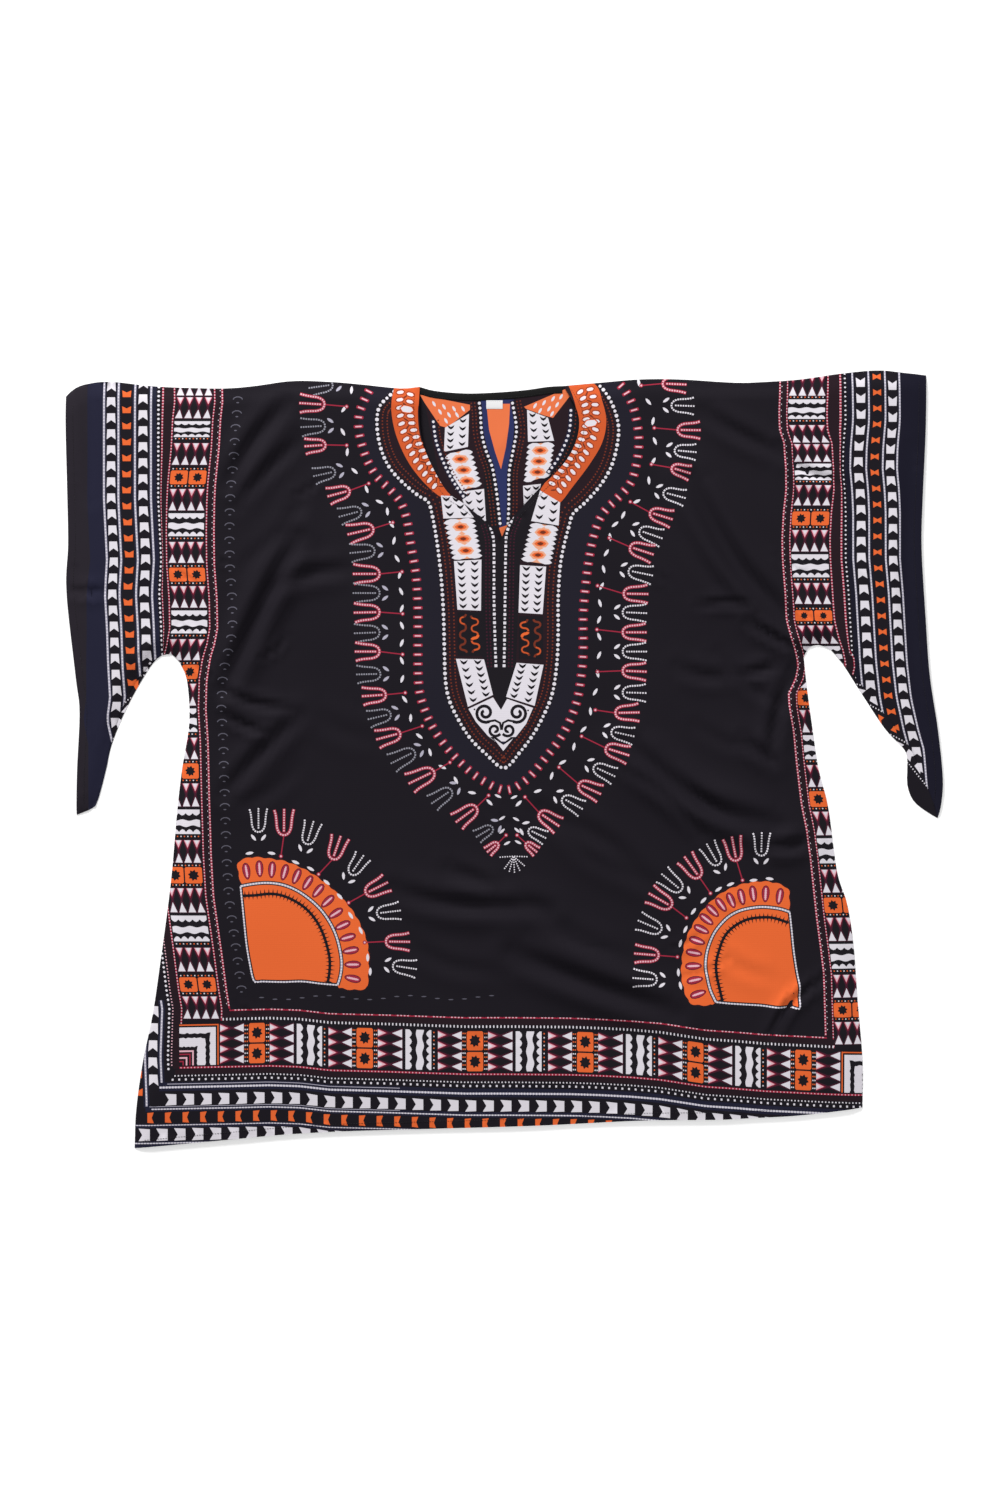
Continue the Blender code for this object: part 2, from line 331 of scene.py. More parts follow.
# %% The front's two faces
def crease_heights(creases, points):
    """What the small creases add to the height, each a little bent."""
    height = np.zeros(len(points))
    for x0, y0, x1, y1, half, rise in creases:
        middle = ((x0 + x1) / 2 + CREASE_BEND * (y1 - y0), (y0 + y1) / 2 - CREASE_BEND * (x1 - x0))
        deep, shoulder = trough(whole_line(((x0, y0), middle, (x1, y1)), 12), half, points)
        height += rise * shoulder - CREASE_DEEP * rise * deep
    return height


def nearest(edges, points, reach=1e4):
    """From each point to the nearest of several edges."""
    return np.min([distance_to(edge, points, reach)[0] for edge in edges], axis=0)


def front_layers(points):
    """The front's lower and upper faces above the surface, in millimetres."""
    billow = np.full(len(points), BILLOW)
    shoulders = np.zeros(len(points))
    for line, half, rise in FOLD_LINES:
        deep, shoulder = trough(line, half, points)
        billow *= 1 - deep
        shoulders += rise * shoulder
    ripple = sum(np.sin(points[:, 0] / a + points[:, 1] / b + start) for a, b, start in RIPPLE_WAVES)
    height = billow + shoulders + RIPPLE * (1 + ripple / len(RIPPLE_WAVES)) + crease_heights(CREASES, points)
    sewn = nearest(SEWN_EDGES, points, 25)
    hem, neck = nearest(HEM_EDGES, points, HEM_REACH), nearest(NECK_EDGES, points, 16)
    kept = HEM_SHARE + (1 - HEM_SHARE) * soft(hem / HEM_REACH)
    height = np.maximum(height, 0) * soft(sewn / SEAM_REACH) * kept
    rolled = ROLL_DEEP * (1 - np.sqrt(np.clip(1 - (1 - np.clip(sewn / ROLL_WIDE, 0, 1)) ** 2, 0, 1)))
    turned = HEM_THICK * (1 - soft((hem - HEM_WIDE) / TURN_SLOPE))
    turned = np.maximum(turned, NECK_THICK * (1 - soft((neck - NECK_WIDE) / TURN_SLOPE)))
    rest = INSIDE_BACK - CLOTH / 2 + height + turned * soft(sewn / 6) - rolled
    return rest, rest + CLOTH + PLUMP * soft(np.minimum(np.minimum(hem, neck), sewn) / 14)


# %% The back's lower face
def back_height(points):
    """The back's lower face, which lies on the surface but for its creases."""
    waves = np.sin(points[:, 0] / 47 + points[:, 1] / 83) * np.sin(points[:, 1] / 61 - points[:, 0] / 107)
    height = 0.14 + 0.1 * waves + crease_heights(BACK_CREASES, points)
    edge = np.vstack([BACK_OUTLINE, BACK_OUTLINE[:1]])
    return np.clip(height, 0, 0.6) * soft(nearest([edge], points, 6) / 5)


middle = np.zeros((1, 2))
heights = [round(float(z[0]), 2) for z in (back_height(middle), *front_layers(middle))]
print("at the middle, in mm, the back and the front's lower and upper face:", heights)

# %% [markdown]
# ## The print's tools
# The print is laid out on a board, as a textile designer would, in steps of 1.225 mm: x to the right, y
# down. Every motif is a small closed shape with an ink. Borders are drawn straight, then laid on the
# cloth, which has shifted a little here and there where it folds. Later shapes cover earlier ones. A
# picture laid on the cloth would be quicker, but it blurs close by, and a shape can be moved, counted and
# given another ink.

# %% The board and its stamps
STEP_MM = 1.225
BOARD_MIDDLE = (503, 758.5)
shapes = []


def to_mm(points):
    """From the board to millimetres on the shirt."""
    p = np.asarray(points, float)
    return np.column_stack([(p[:, 0] - BOARD_MIDDLE[0]) * STEP_MM, (BOARD_MIDDLE[1] - p[:, 1]) * STEP_MM])


def straight(a, b):
    """The place of a shape that is drawn where it belongs."""
    return a, b


def stamp(ink, points, place=straight, dense=0):
    """One closed shape, its long sides cut into short ones so that they can bend."""
    p = [tuple(q) for q in points]
    if dense:
        fine = []
        for (x0, y0), (x1, y1) in zip(p, p[1:] + p[:1]):
            count = max(1, round(math.hypot(x1 - x0, y1 - y0) / dense))
            fine += [(x0 + (x1 - x0) * k / count, y0 + (y1 - y0) * k / count) for k in range(count)]
        p = fine
    shapes.append((ink, [place(x, y) for x, y in p]))


def box(ink, a0, b0, a1, b1, place=straight, dense=0):
    stamp(ink, ((a0, b0), (a1, b0), (a1, b1), (a0, b1)), place, dense)


def band(ink, a0, a1, b0, b1, place):
    """A long stripe along a border."""
    box(ink, a0, b0, a1, b1, place, dense=9)


def spot(ink, x, y, size, corners=6, place=straight, turn=0.0):
    """A dot or bead with a few corners, as wide as its size."""
    angles = [turn + 2 * math.pi * k / corners for k in range(corners)]
    stamp(ink, [(x + size / 2 * math.cos(t), y + size / 2 * math.sin(t)) for t in angles], place)


# %% Leaves, petals and bars
def turned_stamp(ink, x, y, angle, ring):
    """A shape drawn round 0, 0, turned by an angle in degrees and moved to x, y."""
    c, s = math.cos(math.radians(angle)), math.sin(math.radians(angle))
    stamp(ink, [(x + u * c - v * s, y + u * s + v * c) for u, v in ring])


def leaf(ink, x, y, length, width, angle, pointed=0.75):
    """A leaf around x, y, its long way at the angle."""
    half = ((-0.5, 0), (-0.28, 0.4 * pointed + 0.08), (0.05, 0.5), (0.33, 0.36 * pointed + 0.06), (0.5, 0))
    ring = list(half) + [(u, -v) for u, v in half[-2:0:-1]]
    turned_stamp(ink, x, y, angle, [(u * length, v * width) for u, v in ring])


def petal(ink, x, y, length, width, angle):
    """A rounded drop, wider towards the far end of its long way."""
    ring = []
    for k in range(12):
        t = 2 * math.pi * k / 12
        ring.append((math.cos(t) * length / 2, math.sin(t) * width / 2 * (1 + 0.16 * math.cos(t))))
    turned_stamp(ink, x, y, angle, ring)


def bar(ink, x, y, length, width, angle):
    """A short stroke with cut corners."""
    u, v = length / 2, width / 2
    cut = 0.45 * v
    ring = (
        (u, 0.55 * v), (u - cut, v), (cut - u, v), (-u, 0.55 * v),
        (-u, -0.55 * v), (cut - u, -v), (u - cut, -v), (u, -0.55 * v),
    )  # fmt: skip
    turned_stamp(ink, x, y, angle, ring)


# %% Lines
def ribbon(ink, line, width):
    """A stripe of even width along a line of points."""
    p = np.asarray(line, float)
    along = np.gradient(p, axis=0)
    along /= np.linalg.norm(along, axis=1)[:, None]
    side = np.column_stack([along[:, 1], -along[:, 0]]) * width / 2
    stamp(ink, np.vstack([p + side, (p - side)[::-1]]))


class Path:
    """A soft curve through a table's points, walked by distance, with offsets to its left."""

    def __init__(self, points, step=3.0):
        self.line = whole_line(points, step)
        self.far = np.concatenate([[0], np.cumsum(np.linalg.norm(np.diff(self.line, axis=0), axis=1))])
        self.length = self.far[-1]

    def at(self, s, off=0.0):
        """The point at a distance along the curve, moved aside by an offset."""
        spot_x, spot_y = (np.interp((s - 1.5, s, s + 1.5), self.far, self.line[:, k]) for k in (0, 1))
        dx, dy = spot_x[2] - spot_x[0], spot_y[2] - spot_y[0]
        size = math.hypot(dx, dy) or 1.0
        return spot_x[1] + off * dy / size, spot_y[1] - off * dx / size

    def angle(self, s):
        (x0, y0), (x1, y1) = self.at(s - 1), self.at(s + 1)
        return math.degrees(math.atan2(y1 - y0, x1 - x0))

    def angle_beside(self, x, y, step=1.5):
        """The curve's direction at its nearest place to x, y."""
        far = [math.dist(self.at(s), (x, y)) for s in np.arange(0, self.length, step)]
        return self.angle(step * int(np.argmin(far)))

    def walk(self, step, off=0.0, past=0.0):
        """Points a step apart, from the far end back where the step is negative."""
        start, end = (0, self.length + past) if step > 0 else (self.length, 0)
        return [self.at(s, off) for s in np.arange(start, end, step)]

    def steps(self, pitch, start=0.0, end=0.0):
        """Distances about a pitch apart that fill the curve evenly."""
        count = max(1, round((self.length - start - end) / pitch))
        return [start + (k + 0.5) * (self.length - start - end) / count for k in range(count)]

    def stripe(self, ink, width, off=0.0, start=0.0, end=0.0, step=5.0):
        at = np.arange(start, self.length - end, step)
        ribbon(ink, [self.at(s, off) for s in at] + [self.at(self.length - end, off)], width)

    def dots(self, ink, size, pitch, off=0.0, start=0.0, end=0.0, corners=6, uneven=0.0):
        for k, s in enumerate(self.steps(pitch, start, end)):
            x, y = self.at(s, off)
            across = size * (1 + uneven * (-1) ** k)
            spot(ink, x, y, across, corners, turn=math.radians(self.angle(s) + 45 * (corners == 4)))


# %% [markdown]
# ## The three inner kinds of cell
# The borders hold a row of cells: orange squares with a dark flower, white waves, and rows of small
# triangles that leave dark diamonds between them. They repeat as squares, triangles, waves, triangles. A
# cell is drawn with a across the border and b along it, and the border's own placing bends it.

# %% Triangles
def triangles(place, a0, a1, b0, b1):
    """Two facing rows of four triangles with dark diamonds between them."""
    wide, tall = (a1 - a0) / 4, b1 - b0
    box("maroon", a0, b0, a1, b1, place, dense=12)
    for k in range(5):
        middle = a0 + k * wide
        left, right = max(a0, middle - 0.4 * wide), min(a1, middle + 0.4 * wide)
        half = b0 + tall / 2
        ring = [(middle, b0 + 0.3), (right, half), (middle, b1 - 0.3), (left, half)]
        stamp("black", list(dict.fromkeys(ring)), place)  # at the ends two corners are one
    for k in range(4):
        middle, foot = a0 + (k + 0.5) * wide, b0 + 0.5
        for ink, half, deep in (("crimson", 0.41, 0.41), ("blush", 0.35, 0.34), ("white", 0.26, 0.2)):
            tip = (middle, b0 + deep * tall)
            stamp(ink, ((middle - half * wide, foot), (middle + half * wide, foot), tip), place)
        foot, tip = b1 - 0.6, (middle, b1 - 0.42 * tall)
        stamp("white", ((middle - 0.4 * wide, foot), tip, (middle + 0.4 * wide, foot)), place)


# %% Beads and orange squares
def bead_row(place, a0, a1, b, size=1.7, pitch=3.3):
    """A row of small beads across a border, orange and white in turn."""
    count = int((a1 - a0) / pitch)
    for k in range(count):
        a = a0 + (k + 0.5) * (a1 - a0) / count
        spot("white" if k % 2 else "orange", a, b, size, 4, place, math.pi / 4)


def squares(place, a0, a1, b0, b1):
    """Two orange squares side by side, each with a dark flower of eight petals."""
    box("black", a0, b0, a1, b1, place, dense=12)
    half = (a1 - a0) / 2
    for k in range(2):
        low, high = a0 + k * half + 0.7, a0 + (k + 1) * half - 0.7
        top, bottom = b0 + 2.8, b1 - 2.8
        cut = 1.2
        ring = (
            (low + cut, top), (high - cut, top), (high, top + cut), (high, bottom - cut),
            (high - cut, bottom), (low + cut, bottom), (low, bottom - cut), (low, top + cut),
        )  # fmt: skip
        stamp("orange", ring, place, dense=7)
        x, y = (low + high) / 2, (top + bottom) / 2
        radius = min(high - low, bottom - top) * 0.36
        ring = [(radius if i % 2 else radius * 0.68, 2 * math.pi * (i + 0.5) / 16) for i in range(16)]
        stamp("black", [(x + r * math.cos(t), y + r * math.sin(t)) for r, t in ring], place)
    bead_row(place, a0 + 1, a1 - 1, b0 + 1.1)
    bead_row(place, a0 + 1, a1 - 1, b1 - 1.1)


# %% Waves
def waves(place, a0, a1, b0, b1):
    """White wavy stripes with black scalloped ones between them."""
    box("black", a0, b0, a1, b1, place, dense=12)
    wide, tall = a1 - a0, b1 - b0
    u = np.linspace(0, 1, 21)

    def stripe(upper, lower):
        a = a0 + 0.8 + u * (wide - 1.6)
        top, bottom = b0 + tall * upper, b0 + tall * lower
        stamp("white", list(zip(a, top)) + list(zip(a[::-1], bottom[::-1])), place)

    scallop = np.abs(np.sin(5 * math.pi * u))
    stripe(0.05 + 0 * u, 0.17 + 0.08 * scallop)
    sway = np.sin(5 * math.pi * u)
    stripe(0.4 - 0.025 * sway, 0.6 + 0.03 * np.cos(5 * math.pi * u))
    stripe(0.8 - 0.1 * scallop, 0.86 + 0 * u)
    bead_row(place, a0 + 1, a1 - 1, b1 - 0.06 * tall)


# %% A row of cells
def cell_row(place, a0, a1, centres, start, end, beads=False):
    """Fills a border with cells. centres are the middles of the orange squares."""
    for here, there in zip(centres[:-1], centres[1:]):
        period = there - here
        parts = (
            (squares, here - 0.1 * period, here + 0.1 * period),
            (triangles, here + 0.115 * period, here + 0.345 * period),
            (waves, here + 0.355 * period, here + 0.645 * period),
            (triangles, here + 0.66 * period, here + 0.885 * period),
        )
        for draw, b0, b1 in parts:
            if b0 >= start and b1 <= end:
                draw(place, a0, a1, b0, b1)
        for share in (0.108, 0.892) if beads else ():
            if start < here + share * period < end:
                bead_row(place, a0 + 1, a1 - 1, here + share * period)


# %% [markdown]
# ## The borders
# Seen from the middle outwards, each border has a rope of beads, a maroon strip, the cells, another
# strip, beads and dots, and then rows of little flags between fine lines: white, orange, white. Outside
# them the cloth is navy and then black. The same columns turn the corner and run along the hem, a little
# wider. The hem was cut a bit aslant, so the rows run off it towards one side. Drawing them straight
# first keeps their spacing even, as a printing roller does, and one table for each side then bends them.

# %% How far the cloth has shifted
LEFT_SHIFT = (
    (380, 7), (403, 8), (420, 6), (450, 4.5), (485, 1), (504, 0), (532, -0.5), (565, 0), (600, 2.5),
    (629, 3), (645, 0), (658, -4), (680, -7.5), (710, -8.5), (742, -6.5), (801, -5), (854, -3.5),
    (896, -1), (917, 2), (952, 7), (990, 12), (1008, 15), (1056, 13.5), (1100, 15.5), (1160, 16),
)  # fmt: skip
RIGHT_SHIFT = (
    (380, -5), (413, -6.5), (431, -6), (444, -1.5), (470, 0), (491, 0.5), (512, -2), (539, -3.5),
    (560, -3), (590, -1), (620, 1), (637, 5), (651, 10), (665, 13), (680, 10), (693, 3), (707, 3.5),
    (732, 8), (763, 11), (784, 13.5), (805, 16), (830, 21), (861, 25), (889, 28), (917, 31), (947, 35),
    (973, 38), (1037, 40), (1100, 43),
)  # fmt: skip
LEFT_SLEEVE = (
    (380, 0), (500, 0), (560, 3), (594, 1), (629, 3), (663, 4), (698, 6), (720, 3), (744, 8), (820, 8),
)  # fmt: skip
RIGHT_SLEEVE = (
    (380, -0.5), (420, 0), (449, -2.5), (470, -3), (491, -1), (512, 0), (560, 0), (594, 3), (629, 5),
    (663, 7), (698, 11), (729, 18), (750, 24), (784, 27), (818, 32), (850, 35),
)  # fmt: skip
HEM_LINE = (
    (130, 1011), (230, 1009), (270, 1008), (300, 1009), (330, 1012.5), (390, 1014), (465, 1016.5),
    (510, 1016.5), (570, 1017), (600, 1018), (630, 1019.5), (660, 1022), (705, 1029), (735, 1031),
    (765, 1033.5), (826, 1036.5), (870, 1038),
)  # fmt: skip
# the border's rows beside the body, and where the same rows lie along the hem
SIDE_A = (0, 7.5, 9, 46.5, 48, 56.6, 59.8, 67.3, 71, 79.5, 83.3, 87.4, 96, 99.8, 103, 111, 114.2, 150)
HEM_A = (0, 9, 13, 55, 57, 65, 69, 76, 83, 94, 97.5, 101.5, 112, 114.5, 117.5, 129.5, 132, 168)


# %% Laying a border on the cloth
def table_curve(table):
    """A function that reads a table's second column at a place in its first."""
    at, by = zip(*table)
    return lambda v: float(np.interp(v, at, by))


left_shift, right_shift = table_curve(LEFT_SHIFT), table_curve(RIGHT_SHIFT)
left_sleeve, right_sleeve = table_curve(LEFT_SLEEVE), table_curve(RIGHT_SLEEVE)
hem_line = table_curve(HEM_LINE)
LEFT_EDGE, LEFT_SLEEVE_EDGE, RIGHT_EDGE = 215, 219, 785  # where the borders start, across the board
SLEEVE_END = 656  # where the sleeves leave the body, down the board


def on_left_sleeve(a, b):
    return LEFT_SLEEVE_EDGE - a + left_sleeve(b), b


def on_right_sleeve(a, b):
    return RIGHT_EDGE + a + right_sleeve(b), b


def beside_sleeve(a, b, body, sleeve):
    """The inner rows keep to the body, and above the underarm the outer ones keep to the sleeve."""
    t = soft((a - 47) / 14) if b <= SLEEVE_END else 0.0
    return body * (1 - t) + sleeve * t


def on_left(a, b):
    return beside_sleeve(a, b, LEFT_EDGE - a + left_shift(b), on_left_sleeve(a, b)[0]), b


def on_right(a, b):
    return beside_sleeve(a, b, RIGHT_EDGE + a + right_shift(b), on_right_sleeve(a, b)[0]), b


def on_hem(a, b):
    """Along the hem a border lies on its side, and its rows are spread by the second of the two scales."""
    return b, hem_line(b) + float(np.interp(a, SIDE_A, HEM_A))


# %% Flags and beads
def flags(ink, place, a0, a1, b0, b1, pitch, tall, notch, both=False):
    """A row of flags with a notch in one end: 1 is the end far along b, -1 the near one."""
    middle = (a0 + a1) / 2
    cut = 0.32 * tall * notch
    for k in range(int((b1 - b0) / pitch)):
        low = b0 + k * pitch
        high = low + tall
        if notch < 0:
            low, high = high, low
        ring = [(a0, low), (a1, low), (a1 + 0.5, high), (middle, high - cut), (a0 - 0.5, high)]
        if both:
            ring = [(a0, low), (middle, low + cut), (a1, low), (a1, high), (middle, high - cut), (a0, high)]
        stamp(ink, ring, place)


def beaded(place, a, b0, b1, line, bead, width=2.0, size=1.7, pitch=3.6):
    """A column of beads, on a line of another ink where one is given."""
    if line:
        band(line, a - width / 2, a + width / 2, b0, b1, place)
    for k in range(int((b1 - b0) / pitch)):
        spot(bead, a, b0 + (k + 0.5) * pitch, size, 4, place, math.pi / 4)


def flag_columns(place, b0, b1, pitch, tall, notch, orange_notch):
    """Two columns of white flags and one of orange flags, notched at both ends where their notch is 0."""
    flags("white", place, 71.2, 79.4, b0, b1, pitch, tall, notch)
    both = not orange_notch
    flags("orange", place, 87.6, 95.6, b0 - 4, b1, pitch, 0.68 * tall, orange_notch or 1, both)
    flags("white", place, 103.2, 111, b0 + 3, b1, pitch, tall, notch)


# %% The columns of a border
FINE_LINES = (67.3, 83.3, 99.8, 114.2)


def outer_columns(place, b0, b1, fine, cloth):
    """The fine lines and the dark bands outside the cells."""
    band(cloth, 62, 69.5, b0, b1, place)
    band(cloth, 81, 86, b0, b1, place)
    band(cloth, 97.5, 102, b0, b1, place)
    upper, lower = (150, 150) if fine else (131, 138)
    edge = ((112, b0), (upper, b0), (upper, 560), (lower, 700), (lower, b1), (112, b1))
    stamp(cloth, edge, place, dense=9)
    for a in FINE_LINES:
        width = 1.7 if fine else 2.0
        band("lilac", a - width / 2, a + width / 2, b0, b1, place)
        if fine:
            beaded(place, a, b0, b1, None, "white", size=1.7, pitch=3.0)


def inner_columns(place, b0, b1, end, dot=2.6):
    """The rope, the strips, the beads and the dots. end moves the outer rows' ends to their corner."""
    band("umber", 1.2, 6.8, b0, b1 + end / 4, place)
    band("umber", 48.5, 55.4, b0, b1 + end, place)
    beaded(place, 0, b0, b1, "crimson", "blush", width=1.7, size=2.0, pitch=3.0)
    beaded(place, 1.9, b0, b1, None, "white", size=1.2, pitch=6.0)
    for a, share in ((7.6, 0.2), (47.6, 0.9), (56.4, 1)):
        beaded(place, a, b0, b1 + end * share, "crimson", "blush", width=1.3, size=1.75, pitch=3.0)
    pitch = 4.6
    for k in range(int((b1 + end * 1.08 - b0) / pitch)):
        spot("white", 59.9, b0 + (k + 0.5) * pitch, dot, 6, place)


# %% The left and the right border
LEFT_SQUARES = (381, 478, 575, 672, 771, 875, 984, 1084)
RIGHT_SQUARES = (519, 616, 698, 799, 905, 1009.5, 1110)
LEFT_CELLS, RIGHT_CELLS = (9.2, 46.4), (8, 46.4)  # where the cells lie across the borders
HEM_SQUARES = (148, 257.5, 365, 475, 585, 695, 802.5, 911)


def left_sleeve_columns():
    band("charcoal", 128, 186, 366, 830, on_left_sleeve)
    outer_columns(on_left_sleeve, 370, 824, False, "navy")
    for a in FINE_LINES:
        beaded(on_left_sleeve, a, 370, 824, None, "white", size=1.7, pitch=3.3)
    flag_columns(on_left_sleeve, 379, 824, 16, 10.0, 1, -1)


def right_sleeve_columns():
    outer_columns(on_right_sleeve, 370, 838, True, "midnight")
    flag_columns(on_right_sleeve, 378, 462, 15.9, 9.6, -1, 0)
    flag_columns(on_right_sleeve, 458, 838, 15.9, 9.6, 1, 0)


def left_border():
    inner_columns(on_left, 376, 1008, 60)
    cell_row(on_left, *LEFT_CELLS, LEFT_SQUARES, 467, 1019)
    for b0, b1 in ((372.5, 396.5), (397.5, 419.5), (443.5, 466)):
        triangles(on_left, *LEFT_CELLS, b0, b1)
    waves(on_left, *LEFT_CELLS, 421, 440.5)
    left_sleeve_columns()


def left_corner_columns():
    """The left border's outer rows where the side widens towards the hem."""
    for a, end, fine in ((67.3, 1086, True), (83.3, 1107, True), (99.8, 1126, False)):
        band("navy", a - 3, a + 3, 1000, end, on_left)
        beaded(on_left, a, 1000, end, "lilac", "white", size=1.6, pitch=3.2)
    flags("white", on_left, 71.2, 79.6, 1006, 1100, 17, 11, 1)
    flags("orange", on_left, 87.4, 95.8, 1018, 1122, 17.5, 7.4, -1)


def right_border():
    inner_columns(on_right, 372, 1035, 62, dot=1.9)
    cell_row(on_right, *RIGHT_CELLS, RIGHT_SQUARES, 500, 1046)
    waves(on_right, *RIGHT_CELLS, 399, 423)
    bead_row(on_right, 9, 45, 398)
    waves(on_right, *RIGHT_CELLS, 463.5, 483.5)
    for b0, b1 in ((374, 397), (425.5, 443.8), (444.6, 463), (485.5, 506.5)):
        triangles(on_right, *RIGHT_CELLS, b0, b1)
    right_sleeve_columns()


# %% The corner and the hem
def corner_cell(place, a0, a1, b0, b1, flip):
    """Angled stripes where the side's cells meet the hem's. flip is True where b0 is the outer side."""
    box("black", a0, b0, a1, b1, place, dense=12)
    wide, tall = a1 - a0, b1 - b0
    # from and to as shares of the cell, ink, how far its edges wave, and how many of them do
    stripes = (
        (0.02, 0.05, "orange", 0.0, 0), (0.09, 0.22, "white", 0.03, 1), (0.36, 0.54, "white", 0.025, 2),
        (0.64, 0.68, "blush", 0.0, 0), (0.72, 0.75, "crimson", 0.0, 0), (0.8, 0.84, "blush", 0.0, 0),
        (0.89, 0.92, "crimson", 0.0, 0),
    )  # fmt: skip
    for low, high, ink, sway, sides in stripes:
        edges = []
        for level, side in ((low, -1), (high, 1)):
            count = 12 if sway else 2
            wavy = sway * (sides == 2 or side > 0)
            wave = [wavy * abs(math.sin(4.5 * math.pi * k / count)) for k in range(count)]
            down = [(level + side * wave[k], 1 - k / count * (1 - level)) for k in range(count)]
            across = [(level + (k + 1) / count * (1 - level), level + side * wave[k]) for k in range(count)]
            edges.append(down + [(level, level)] + across)
        ring = edges[0] + edges[1][::-1]
        stamp(ink, [(a0 + wide * q, (b0 + tall * p) if flip else (b1 - tall * p)) for p, q in ring], place)


HEM_END = 890


def hem_border():
    """The same columns laid along the hem, from the body outwards."""
    beaded(on_hem, 0, 230, 826, "crimson", "umber", width=2.4, size=1.2, pitch=4.5)
    for x in np.arange(236, 824, 18):
        for k in range(4):
            spot("blush", 0, x + 3.4 * k, 2.2, 6, on_hem)
    band("umber", 1.6, 6.6, 226, 834, on_hem)
    beaded(on_hem, 7.5, 222, 834, None, "white", size=1.8, pitch=3.6)
    cell_row(on_hem, *LEFT_CELLS, HEM_SQUARES, 219, 842, beads=True)
    corner_cell(on_hem, *LEFT_CELLS, 180, 220, False)
    corner_cell(on_hem, *LEFT_CELLS, 840, 880, True)
    beaded(on_hem, 48.2, 180, 880, "crimson", "blush", width=1.6, size=1.5, pitch=3.4)
    band("umber", 50.2, 55.2, 176, HEM_END, on_hem)
    beaded(on_hem, 56.6, 174, HEM_END, None, "white", size=1.8, pitch=3.4)
    beaded(on_hem, 59.8, 170, HEM_END, None, "white", size=2.6, pitch=6.6)
    band("navy", 62.5, 69.5, 160, HEM_END, on_hem)
    band("lilac", 63.9, 64.6, 168, 400, on_hem)
    beaded(on_hem, 67.4, 160, HEM_END, "lilac", "white", width=1.2, size=1.9, pitch=3.0)
    flags("white", on_hem, 71.4, 79.6, 166, HEM_END, 17.6, 11, -1)
    band("navy", 80.8, 86.4, 146, HEM_END, on_hem)
    band("lilac", 80.9, 81.5, 150, 400, on_hem)
    beaded(on_hem, 83.9, 152, HEM_END, "lilac", "white", width=1.2, size=1.9, pitch=3.0)
    flags("orange", on_hem, 87.6, 95.6, 148, HEM_END, 17.6, 6.4, 1)
    band("navy", 97.2, 102.4, 130, HEM_END, on_hem)
    beaded(on_hem, 99.4, 130, HEM_END, "lilac", "white", width=1.2, size=1.9, pitch=3.0)
    flags("white", on_hem, 103.4, 111, 139, HEM_END, 17.8, 11.4, -1)
    band("navy", 112, 136, 126, HEM_END, on_hem)
    beaded(on_hem, 114.4, 126, HEM_END, "lilac", "white", width=1.2, size=1.9, pitch=3.0)


# %% Faint marks
def crescents():
    """A faint row of little arcs beside the left border."""
    for k in range(43):
        y = 398 + 14 * k
        x = LEFT_EDGE + left_shift(y) + 15.5
        turns = np.linspace(0.15, math.pi - 0.15, 6)
        ribbon("ash", [(x + 4.8 * math.cos(t), y + 2.6 - 3.2 * math.sin(t)) for t in turns], 1.0)
        leaf("ash", x, y + 5.4, 3.2, 1.3, 0)
    for k in range(18):
        leaf("ash", 262 + 13.5 * k, 997 + 2 * math.sin(k), 5.5, 1.2, 0)


# %% [markdown]
# ## Sprigs
# Little three-pronged sprigs stand round the neck print and the two suns, red ones on a thin stem in turn
# with white ones between a pair of leaves. They look as if made of short strokes, so each prong is a
# string of beads, and the red ones have a thick line under it.

# %% A sprig
# a sprig's outer prongs: up and across, as shares of its length
CUP = (
    (1.0, 0.4), (0.8, 0.35), (0.55, 0.315), (0.3, 0.29), (0.12, 0.22), (0.03, 0.12), (0, 0),
    (0.03, -0.12), (0.12, -0.22), (0.3, -0.29), (0.55, -0.315), (0.8, -0.35), (0.97, -0.41),
)  # fmt: skip


def sprig(kind, base, tip, knob=None, light="white"):
    """One sprig from its foot to the tip of its middle prong. A red one has a stem down to its knob."""
    base, tip = np.array(base, float), np.array(tip, float)
    long = np.linalg.norm(tip - base)
    d = (tip - base) / long
    n = np.array((-d[1], d[0]))
    cup = Path([base + d * long * u + n * long * v * 0.93 for u, v in CUP], 2.0)
    prong = Path([base + d * long * u for u in (0.05, 0.5, 1.02)], 2.0)
    if kind == "red":
        cup.stripe("crimson", 3.3, step=3)
        prong.stripe("crimson", 2.9, start=1.5)
        if knob is not None:
            Path([base, (base + knob) / 2, knob], 3.0).stripe("crimson", 1.2)
            spot("crimson", *knob, 4.2, 8)
            spot("blush", *knob, 2.2, 6)
        cup.dots("blush", 2.4, 2.5, corners=4)
        prong.dots("blush", 2.2, 2.5, start=2, corners=4)
    else:
        cup.dots(light, 2.4, 2.5, corners=4)
        prong.dots(light, 2.2, 2.5, start=2, corners=4)
        turn = math.degrees(math.atan2(d[1], d[0]))
        for side in (1, -1):
            at = base - d * 5.4 + n * side * 5.0
            leaf("white" if light == "white" else "lilac", *at, 8, 3.0, turn + side * 38)


def sprigs(rows, light="white"):
    for kind, base_x, base_y, tip_x, tip_y, *knob in rows:
        sprig(kind, (base_x, base_y), (tip_x, tip_y), np.array(knob) if knob else None, light)


def fan(ink, base, tips):
    """Strings of beads that spread from one point."""
    for tip in tips:
        middle = ((base[0] + tip[0]) / 2, (base[1] + tip[1]) / 2)
        Path((base, middle, tip), 2.0).dots(ink, 1.7, 2.3, corners=4)


